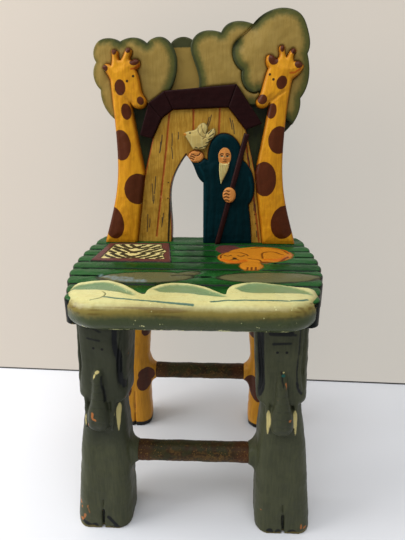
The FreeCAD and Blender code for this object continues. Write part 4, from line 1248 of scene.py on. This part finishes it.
class CHAIR_OT_wave_rail(bpy.types.Operator):
    """Makes the rounded front rail with its wave crests"""

    bl_idname = "chair.wave_rail"
    bl_label = "Wave rail"

    def execute(self, context):
        c = colours()

        def hollows(points):
            gap = np.full(len(points), FAR)
            for ring in HOLLOWS:
                gap = np.minimum(gap, shape(points, curve(ring + ring[:1], 4)))
            return gap

        def paint(points, normals):
            flat = points[:, :2]
            top = (points[:, 2] > RAIL_PAINTED) & (normals[:, 2] > 0.3)
            wander = 1.2 * np.sin(points[:, 0] / 23.0) + 0.8 * ripple(points, 9.0)
            band = 3.0 * smooth(5.0, 10.0, np.abs(points[:, 2] - RAIL_STREAKS))
            return {
                "edge_mm": 0.5 + 0.8 * np.abs(points[:, 2] - RAIL_EDGE),
                "sage_mm": np.where(top, hollows(flat), FAR),
                "line_mm": np.where(top, strokes(flat, 3.0, *[curve(line) for line in WAVELETS]), FAR),
                "curl_mm": np.where(top, strokes(flat, 1.4, curve(CURL)), FAR),
                # From the gold front to the green underside the rail darkens downwards: painted bands and
                # painted shade
                "roll_mm": points[:, 2] - RAIL_GOLD + 0.6 * wander,
                "underside_green_and_shade_mm": points[:, 2] - RAIL_GREEN + wander,
                "streak_mm": 0.9 - 4.0 * ripple(points * np.array([0.05, 1.0, 1.0]), 2.6) + band,
            }

        def carve(points, normals):
            flat = points[:, :2]
            up = smooth(0.4, 0.9, normals[:, 2]) * (points[:, 2] > RAIL_CARVED)
            dip = 1.4 * (1.0 - smooth(-5.0, 1.0, hollows(flat)))
            lines = strokes(flat, 0.0, *[curve(line) for line in WAVELETS + [CURL]])
            cut = 0.7 * (1.0 - smooth(0.0, 1.2, lines))
            return 0.35 * ripple(points, 10.0) - up * (dip + cut)

        layers = [("sage_mm", c.wave_sage, 2.4, 3.0, 0.9), ("roll_mm", c.roll_gold, 4.6, 3.0, 0.95),
                  ("streak_mm", c.roll_streak, 0.9, 1.0, 0.65), ("underside_green_and_shade_mm", c.roll_green, 5.5, 5.0, 0.95),
                  ("line_mm", c.wave_teal, 0.7, 1.0, 0.9), ("curl_mm", c.roll_green, 0.5, 0.6, 0.85)]
        material = paint_material("wave_paint", c.cream, c.bird_straw, layers, streak=CROSSWISE, amount=0.55,
                                  chips=0.18, chip=c.cream, gloss=0.3, coat=0.1, shine=0.18)
        add_solid_carving("wave_rail", material, 5, carve, paint)
        return {"FINISHED"}


# Legs and stretchers

# Height of the seat's underside
LEG_TOP = 278.0

# Where the middle of a leg's top lies (across, from front to back), and its lean out and forward in degrees
FRONT_LEG = (96.0, -73.0, 2.9, 1.8)
REAR_LEG = (95.0, 100.0, 2.0, -0.7)


def leg_frame(leg, side):
    """A leg's own axes: points come out as across, to the front (minus), and up from the seat's underside."""
    across, along, lean_out, lean_fore = leg
    tilt = Matrix.Rotation(math.radians(-side * lean_out), 3, "Y")
    tip = Matrix.Rotation(math.radians(-lean_fore), 3, "X")
    axes = np.array((tip @ tilt).transposed())
    return Plane((across * side, along - SHIFT, LEG_TOP), axes)


def turned(local, degrees):
    """Leg points seen from a head that is turned about the leg's axis."""
    angle = math.radians(degrees)
    across = local[:, 0] * math.cos(angle) + local[:, 1] * math.sin(angle)
    out = -local[:, 0] * math.sin(angle) + local[:, 1] * math.cos(angle)
    return np.column_stack([across, out, local[:, 2]])


class CHAIR_OT_front_legs(bpy.types.Operator):
    """Makes the two elephant legs"""

    bl_idname = "chair.front_legs"
    bl_label = "Front legs"

    def execute(self, context):
        c = colours()
        layers = [("dark_mm", c.elephant_dark_and_shade, 16.0, 24.0, 0.75),
                  ("fine_mm", c.elephant_line, 0.8, 1.2, 0.22),
                  ("ear_line_and_shade_mm", c.elephant_line, 0.8, 1.6, 0.95), ("brow_mm", c.elephant_line, 0.9, 1.4, 0.9),
                  ("toes_mm", c.elephant_line, 0.8, 1.6, 0.95), ("tusk_mm", c.bird_straw, 0.5, 0.6, 1.0),
                  ("eye_mm", c.black, 0.4, 0.2, 1.0), ("chip_mm", c.bare_wood, 0.4, 2.6, 0.95),
                  ("flake_mm", c.bird_straw, 0.4, 2.4, 0.9), ("teal_mm", c.wave_teal, 0.4, 1.6, 0.95),
                  ("foot_mm", c.roll_gold, 0.8, 6.0, 0.6)]
        material = paint_material("elephant_paint", c.elephant_grey, c.elephant_dark_and_shade, layers, amount=0.5,
                                  chips=0.0, chip=c.bare_wood, reach=4.0, gloss=0.45)
        for name, side, turn in (("front_leg_left", -1, -7.0), ("front_leg_right", 1, -3.0)):
            plane = leg_frame(FRONT_LEG, side)

            def carve(points, normals, plane=plane, turn=turn, side=side):
                return self.carve(plane.local(points), turn, side)

            def paint(points, normals, plane=plane, turn=turn, side=side):
                return self.paint(plane.local(points), turn, side)

            add_solid_carving(name, material, 4, carve, paint)
        return {"FINISHED"}

    def marks(self, local, turn, side):
        """Signed distances on the front: carved lines, painted marks, tusks and eyes."""
        head = turned(local, turn)
        flat = np.column_stack([np.abs(head[:, 0]), head[:, 2]])
        face = head[:, [0, 2]]
        left_ear = curve([(18, 8), (18.5, -28), (22.5, -46), (23, -64), (25, -76), (31, -84)])
        right_ear = curve([(-22.5, 8), (-22.5, -50), (-22, -74), (-25, -86), (-29, -92)])
        thin_ear = curve([(19.5, 6), (19, -24), (17, -44), (16, -60), (16.5, -74)])
        thin_tip = curve([(16.5, -72), (18, -80), (22, -87)])
        thin = np.minimum(strokes(face, 1.4, thin_ear), strokes(face, 2.8, thin_tip))
        # Dark bands along the carved ear edges: partly painted lines, partly painted shade of the recessed
        # ears
        ears = {
            -1: np.minimum(strokes(face, 5.6, left_ear), blob(face, (30, -82, 5.5, 4.0, -30))),
            1: np.minimum(strokes(face, 7.0, right_ear), thin),
        }
        wrinkles = [curve([(0, -76 - 9 * i), (5, -75 - 9 * i), (9.5, -77.5 - 9 * i)]) for i in range(6)]
        trunk = curve([(5.5, -58), (7.5, -80), (10.5, -108), (12.5, -132)])
        brows = {
            -1: np.minimum(strokes(face, 4.0, [(-17, -8.5), (-8, -9.5)]),
                           strokes(face, 2.2, [(-8, -9.5), (3, -14)], [(-12, -23), (2, -24.5)])),
            1: np.minimum(strokes(face, 7.0, [(-11, -11), (9, -12)]),
                          strokes(face, 3.0, [(-14, -9), (14, -14)], [(-9, -24), (9, -23.5)])),
        }
        crease = {-1: [(4.5, -66), (5, -74), (7, -84), (8.5, -96)], 1: [(-0.5, -57), (0, -64), (1.5, -74)]}
        brow = np.minimum(brows[side], strokes(face, 1.8, curve(crease[side])))
        feet = local[:, [0, 2]]
        toes = {
            -1: np.minimum(strokes(feet, 4.6, [(6.5, -262), (19.5, -277)], [(-24, -272), (-13, -277)]),
                           blob(feet, (-10, -277, 4.2, 5.5, 0), (14, -278, 8, 3.5, 0))),
            1: blob(feet, (-16, -277, 4.6, 6.6, 0), (-6, -278, 4.2, 6.4, 0), (11, -278, 6.0, 5.4, 0)),
        }
        split = strokes(feet, 1.6, [(0, -280), (0, -254)])
        tusks = {
            -1: [[(20.2, -106), (19.8, -118), (20.8, -140)]],
            1: [[(-14.8, -106), (-15.0, -122), (-16.2, -139)], [(14.6, -106), (14.6, -122), (15.2, -141)]],
        }
        tusk = strokes(face, 0.0, *[curve(line) for line in tusks[side]])
        taper = np.interp(face[:, 1], (-141.0, -130.0, -116.0, -110.0, -106.0), (0.2, 1.5, 2.3, 1.9, 0.6))
        away = np.where(local[:, 1] < -14.0, 0.0, FAR)
        return {
            "ear": ears[side] + away,
            "fine": strokes(flat, 0.8, trunk, *wrinkles) + away,
            "brow": brow + away,
            "toes": np.minimum(toes[side], split) + away,
            "split": split + away,
            "tusk": tusk - taper + away,
            "eye": blob(flat, (4.9, -34, 1.6, 1.6, 0)) + away,
        }

    def paint(self, local, turn, side):
        marks = self.marks(local, turn, side)
        head = turned(local, turn)
        height = local[:, 2] + LEG_TOP
        flat = head[:, [0, 2]]
        trunk_chips = {
            -1: [(-4, -112, 1.5, 4, 10), (-2, -117, 2.8, 1.2, -20), (-10, -128, 1.0, 2.4, 0)],
            1: [(4.0, -72, 0.9, 4, 0), (8, -113, 1.4, 1.2, 0)],
        }
        foot_chips = {
            -1: [(-29, -246, 1.2, 3.0, 10), (-27, -252, 1.0, 1.4, 0), (-19, -248, 0.8, 1.8, -20),
                 (-17.5, -254, 0.6, 3, 15), (-23, -263, 1.4, 4, -15), (-27, -270, 1.8, 2.4, 0),
                 (-31, -205, 0.9, 1.2, 0)],
            1: [(22, -269, 1.2, 3.4, 0), (26, -272, 2.2, 1.6, 10), (-26, -246, 0.8, 0.9, 0)],
        }
        chips = np.minimum(blob(flat, *trunk_chips[side]), blob(local[:, [0, 2]], *foot_chips[side]))
        flakes = {
            -1: [(-1, -62, 2.6, 1.8, 20), (-3.5, -66, 1.1, 3.4, -10), (-16.5, -128, 1.3, 9.0, -4)],
            1: [(1.4, -58, 1.0, 0.9, 0)],
        }
        teal = {-1: [], 1: [(1.2, -61, 2.2, 1.4, 0)]}
        front = np.where(local[:, 1] < 0.0, 0.0, FAR)
        return {
            "edge_mm": np.full(len(local), 6.0),
            # Left leg: painted shade, darker above a level under the seat; right leg: a darker trunk
            "dark_mm": 120.0 - height if side < 0 else blob(flat, (5, -112, 9, 34, 4)),
            "fine_mm": marks["fine"],
            "ear_line_and_shade_mm": marks["ear"],
            "brow_mm": marks["brow"],
            "toes_mm": marks["toes"],
            "tusk_mm": marks["tusk"],
            "eye_mm": marks["eye"],
            "chip_mm": chips + front,
            "flake_mm": blob(flat, *flakes[side]) + front,
            "teal_mm": blob(flat, *teal[side]) + front,
            "foot_mm": height - 1.6,
        }

    def carve(self, local, turn, side):
        marks = self.marks(local, turn, side)
        cut = 0.9 * (1.0 - smooth(-0.6, 2.0, marks["ear"])) + 0.35 * (1.0 - smooth(-0.2, 1.4, marks["fine"]))
        cut = cut + 1.2 * (1.0 - smooth(-0.6, 1.6, marks["split"]))
        return 0.6 * ripple(local, 14.0) + 0.25 * ripple(local, 5.0) - cut


# Radius at which spots are laid out round a rear leg, and the top of its hoof below the seat
SHIN_RADIUS = 24.0
HOOF_TOP = -270.0


class CHAIR_OT_rear_legs(bpy.types.Operator):
    """Makes the two giraffe legs"""

    bl_idname = "chair.rear_legs"
    bl_label = "Rear legs"

    def execute(self, context):
        c = colours()
        layers = [("lines_mm", c.giraffe_shade, 1.0, 1.0, 0.8), ("spots_mm", c.spot_brown, 0.5, 1.2, 0.97),
                  ("hoof_mm", c.black, 0.8, 1.6, 1.0)]
        material = paint_material("rear_leg_paint", c.giraffe_yellow, c.giraffe_shade, layers, amount=0.5,
                                  chips=0.0, chip=c.cream, shine=0.25)

        def carve(points, normals):
            return 0.6 * ripple(points, 14.0) + 0.2 * ripple(points, 5.0)

        for name, side in (("rear_leg_left", -1), ("rear_leg_right", 1)):
            plane = leg_frame(REAR_LEG, side)

            def paint(points, normals, plane=plane, side=side):
                return self.paint(plane.local(points), side)

            add_solid_carving(name, material, 6, carve, paint)
        return {"FINISHED"}

    def paint(self, local, side):
        around = np.arctan2(local[:, 0] * side, -local[:, 1]) * SHIN_RADIUS
        flat = np.column_stack([around, local[:, 2]])
        inner = {
            -1: [(-18, -184, 13, 12, 0), (-14, -198, 11, 15, 8), (-19, -106, 7, 9, 0)],
            1: [(-20, -196, 12, 13, 0), (-14, -212, 9, 17, 20), (-18, -106, 7, 9, 0)],
        }
        facing = np.column_stack([local[:, 0] * side, local[:, 2]])
        turned_away = np.where(local[:, 1] < 0.0, 0.0, FAR)
        outer = blob(flat, (16, -60, 12, 19, 10), (22, -136, 13, 20, -12), (18, -212, 12, 16, 8),
                     (44, -92, 12, 19, 0), (-58, -140, 13, 20, 0), (52, -172, 13, 18, 10),
                     (-62, -214, 12, 18, 0), (62, -236, 13, 14, 0), (-62, -50, 12, 16, 0))
        spots = np.minimum(blob(facing, *inner[side]) + turned_away, outer)
        split = strokes(flat, 1.6, [(0, -280), (0, -214)])
        return {
            "edge_mm": np.full(len(local), 6.0),
            "spots_mm": spots,
            "hoof_mm": local[:, 2] - HOOF_TOP,
            "lines_mm": split,
        }


# Radius of a stretcher before it is roughened
STICK_RADIUS = 12.2


class CHAIR_OT_stretchers(bpy.types.Operator):
    """Makes the two rough stretchers, and shades the hidden dowels and wedges"""

    bl_idname = "chair.stretchers"
    bl_label = "Stretchers"

    def execute(self, context):
        c = colours()
        layers = [("fleck_mm", c.stick_gold, 2.0, 5.0, 0.35), ("moss_mm", c.stick_moss, 1.0, 3.0, 0.75),
                  ("end_mm", c.stick_red, 5.0, 10.0, 0.5)]
        material = paint_material("stretcher_paint", c.stick_brown, c.stick_dark, layers, streak=CROSSWISE,
                                  amount=0.8, chips=0.36, chip=c.stick_gold, chip_scale=420.0, gloss=0.5,
                                  coat=0.0, bump=0.5)

        def paint(points, normals):
            flecks = 0.2 - 5.0 * ripple(points, 2.4) - 3.0 * ripple(points + 70.0, 14.0)
            return {
                "edge_mm": np.full(len(points), 6.0),
                "fleck_mm": flecks + 2.0 * normals[:, 2],
                "moss_mm": 0.8 - 5.0 * ripple(points + 30.0, 8.0) - 2.0 * normals[:, 2] + 0.02 * points[:, 0],
                "end_mm": 50.0 - np.abs(points[:, 0]),
            }

        def carve(points, normals):
            axis = points[:, 1:].mean(axis=0)
            radius = np.linalg.norm(points[:, 1:] - axis, axis=1)
            barrel = (radius > 0.8 * STICK_RADIUS) * (1.0 - normals[:, 0] ** 2)
            bumps = 0.15 * ripple(points, 12.0) + 0.25 * ripple(points, 3.5)
            return 0.7 * (STICK_RADIUS - radius) * barrel + bumps

        for name in ("front_stretcher", "rear_stretcher"):
            add_solid_carving(name, material, 2, carve, paint, sink=1.5)
        wood = paint_material("bare_wood", c.bare_wood, c.roll_gold, chips=0.0, coat=0.0, gloss=0.6)
        for name in ("back_dowels", "giraffe_dowels", "leg_wedges"):
            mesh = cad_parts[name].data
            mesh.materials.clear()
            mesh.materials.append(wood)
        return {"FINISHED"}


# Stage

# The camera: place in millimetres, turn and dip in degrees, lens for a sensor of this width
CAMERA_PLACE = (28.0, -527.5 - SHIFT, 490.9)
CAMERA_TURN = 2.18
CAMERA_DIP = 19.86
SENSOR = 36.0
CAMERA_LENS = SENSOR * 454.8 / 540.0

# Each lamp: place, what it points at, size in metres, power in watts, tint
WINDOW = ((-1.45, -0.3, 1.3), (0.0, 0.0, 0.3), (1.1, 1.3), 30.0, (1.0, 0.99, 0.97))
CEILING = ((0.0, -0.6, 2.2), (0.0, -0.1, 0.2), (1.8, 1.8), 34.0, (0.98, 0.99, 1.0))
SKY_TINT = (0.86, 0.88, 0.92, 1.0)
SKY_STRENGTH = 0.36


def plain_material(name, paint, rough):
    material = bpy.data.materials.new(name)
    material.use_nodes = True
    shader = material.node_tree.nodes["Principled BSDF"]
    shader.inputs["Base Color"].default_value = rgba(paint)
    shader.inputs["Roughness"].default_value = rough
    return material


def one_sided(material):
    """Leaves a stage sheet clear from behind, so that the chair can be seen from all sides."""
    tree = material.node_tree
    mix = tree.nodes.new("ShaderNodeMixShader")
    link(tree, tree.nodes.new("ShaderNodeNewGeometry").outputs["Backfacing"], mix.inputs["Fac"])
    link(tree, tree.nodes["Principled BSDF"].outputs["BSDF"], mix.inputs[1])
    link(tree, tree.nodes.new("ShaderNodeBsdfTransparent").outputs["BSDF"], mix.inputs[2])
    link(tree, mix.outputs["Shader"], tree.nodes["Material Output"].inputs["Surface"])


def add_lamp(name, place, aim, size, power, tint):
    data = bpy.data.lights.new(name, "AREA")
    data.shape = "RECTANGLE"
    data.size, data.size_y = size
    data.energy = power
    data.color = tint
    lamp = bpy.data.objects.new(name, data)
    lamp.location = place
    lamp.rotation_euler = (Vector(aim) - Vector(place)).to_track_quat("-Z", "Y").to_euler()
    bpy.context.scene.collection.objects.link(lamp)


class CHAIR_OT_stage(bpy.types.Operator):
    """Makes the floor, the wall, the lamps and the camera"""

    bl_idname = "chair.stage"
    bl_label = "Stage"

    def execute(self, context):
        c = colours()
        near, left, right, wide = -3.0, 0.277, 0.163, 1.6
        tall, gap_front, gap_height = 2.4, 0.001, 0.003
        gap_left, gap_right = left - gap_front, right - gap_front
        foot = [(wide, right, 0.0), (-wide, left, 0.0)]
        wall = [(-wide, left, 0.0), (wide, right, 0.0), (wide, right, tall), (-wide, left, tall)]
        # A thin dark sheet along the foot of the wall: painted shadow
        wall_foot_shadow = [(-wide, gap_left, 0.0), (wide, gap_right, 0.0), (wide, gap_right, gap_height),
                    (-wide, gap_left, gap_height)]
        sheets = {
            "floor": ([(-wide, near, 0.0), (wide, near, 0.0)] + foot, c.floor),
            "wall": (wall, c.wall),
            "wall_foot_shadow": (wall_foot_shadow, c.wall_foot_shadow),
        }
        for name, (corners, paint) in sheets.items():
            mesh = bpy.data.meshes.new(name)
            mesh.from_pydata(corners, [], [(0, 1, 2, 3)])
            material = plain_material(name + "_paint", paint, 0.6)
            if name == "wall":
                shader = material.node_tree.nodes["Principled BSDF"]
                shader.inputs["Emission Color"].default_value = rgba(c.wall_glow)
                shader.inputs["Emission Strength"].default_value = 1.0
            one_sided(material)
            mesh.materials.append(material)
            sheet = bpy.data.objects.new(name, mesh)
            context.scene.collection.objects.link(sheet)
        add_lamp("window", *WINDOW)
        add_lamp("ceiling", *CEILING)
        world = context.scene.world or bpy.data.worlds.new("room")
        context.scene.world = world
        world.use_nodes = True
        sky = world.node_tree.nodes["Background"]
        sky.inputs["Color"].default_value = SKY_TINT
        sky.inputs["Strength"].default_value = SKY_STRENGTH
        data = bpy.data.cameras.new("photograph")
        data.sensor_width = SENSOR
        data.lens = CAMERA_LENS
        camera = bpy.data.objects.new("photograph", data)
        camera.location = Vector(CAMERA_PLACE) / MM
        camera.rotation_euler = (math.radians(90.0 - CAMERA_DIP), 0.0, math.radians(CAMERA_TURN))
        context.scene.collection.objects.link(camera)
        context.scene.camera = camera
        context.scene.view_settings.view_transform = "Standard"
        return {"FINISHED"}


class CHAIR_PT_panel(bpy.types.Panel):
    """Lists the chair's pieces and paints"""

    bl_idname = "CHAIR_PT_panel"
    bl_label = "Chair"
    bl_space_type = "VIEW_3D"
    bl_region_type = "UI"
    bl_category = "Chair"

    def draw(self, context):
        for operator in OPERATORS:
            self.layout.operator(operator.bl_idname)
        for settings in (context.scene.chair_sizes, context.scene.chair_colours):
            column = self.layout.column()
            for key in settings.__annotations__:
                column.prop(settings, key)


OPERATORS = (
    CHAIR_OT_backer, CHAIR_OT_trees, CHAIR_OT_house, CHAIR_OT_giraffes, CHAIR_OT_figure, CHAIR_OT_deck,
    CHAIR_OT_wave_rail, CHAIR_OT_front_legs, CHAIR_OT_rear_legs, CHAIR_OT_stretchers, CHAIR_OT_stage,
)
CLASSES = (ChairSizes, ChairColours) + OPERATORS + (CHAIR_PT_panel,)


def register():
    for cls in CLASSES:
        bpy.utils.register_class(cls)
    bpy.types.Scene.chair_sizes = bpy.props.PointerProperty(type=ChairSizes)
    bpy.types.Scene.chair_colours = bpy.props.PointerProperty(type=ChairColours)


def unregister():
    del bpy.types.Scene.chair_colours
    del bpy.types.Scene.chair_sizes
    for cls in reversed(CLASSES):
        bpy.utils.unregister_class(cls)


def main():
    register()
    for operator in OPERATORS:
        group, name = operator.bl_idname.split(".")
        getattr(getattr(bpy.ops, group), name)()


if __name__ == "__main__":
    main()
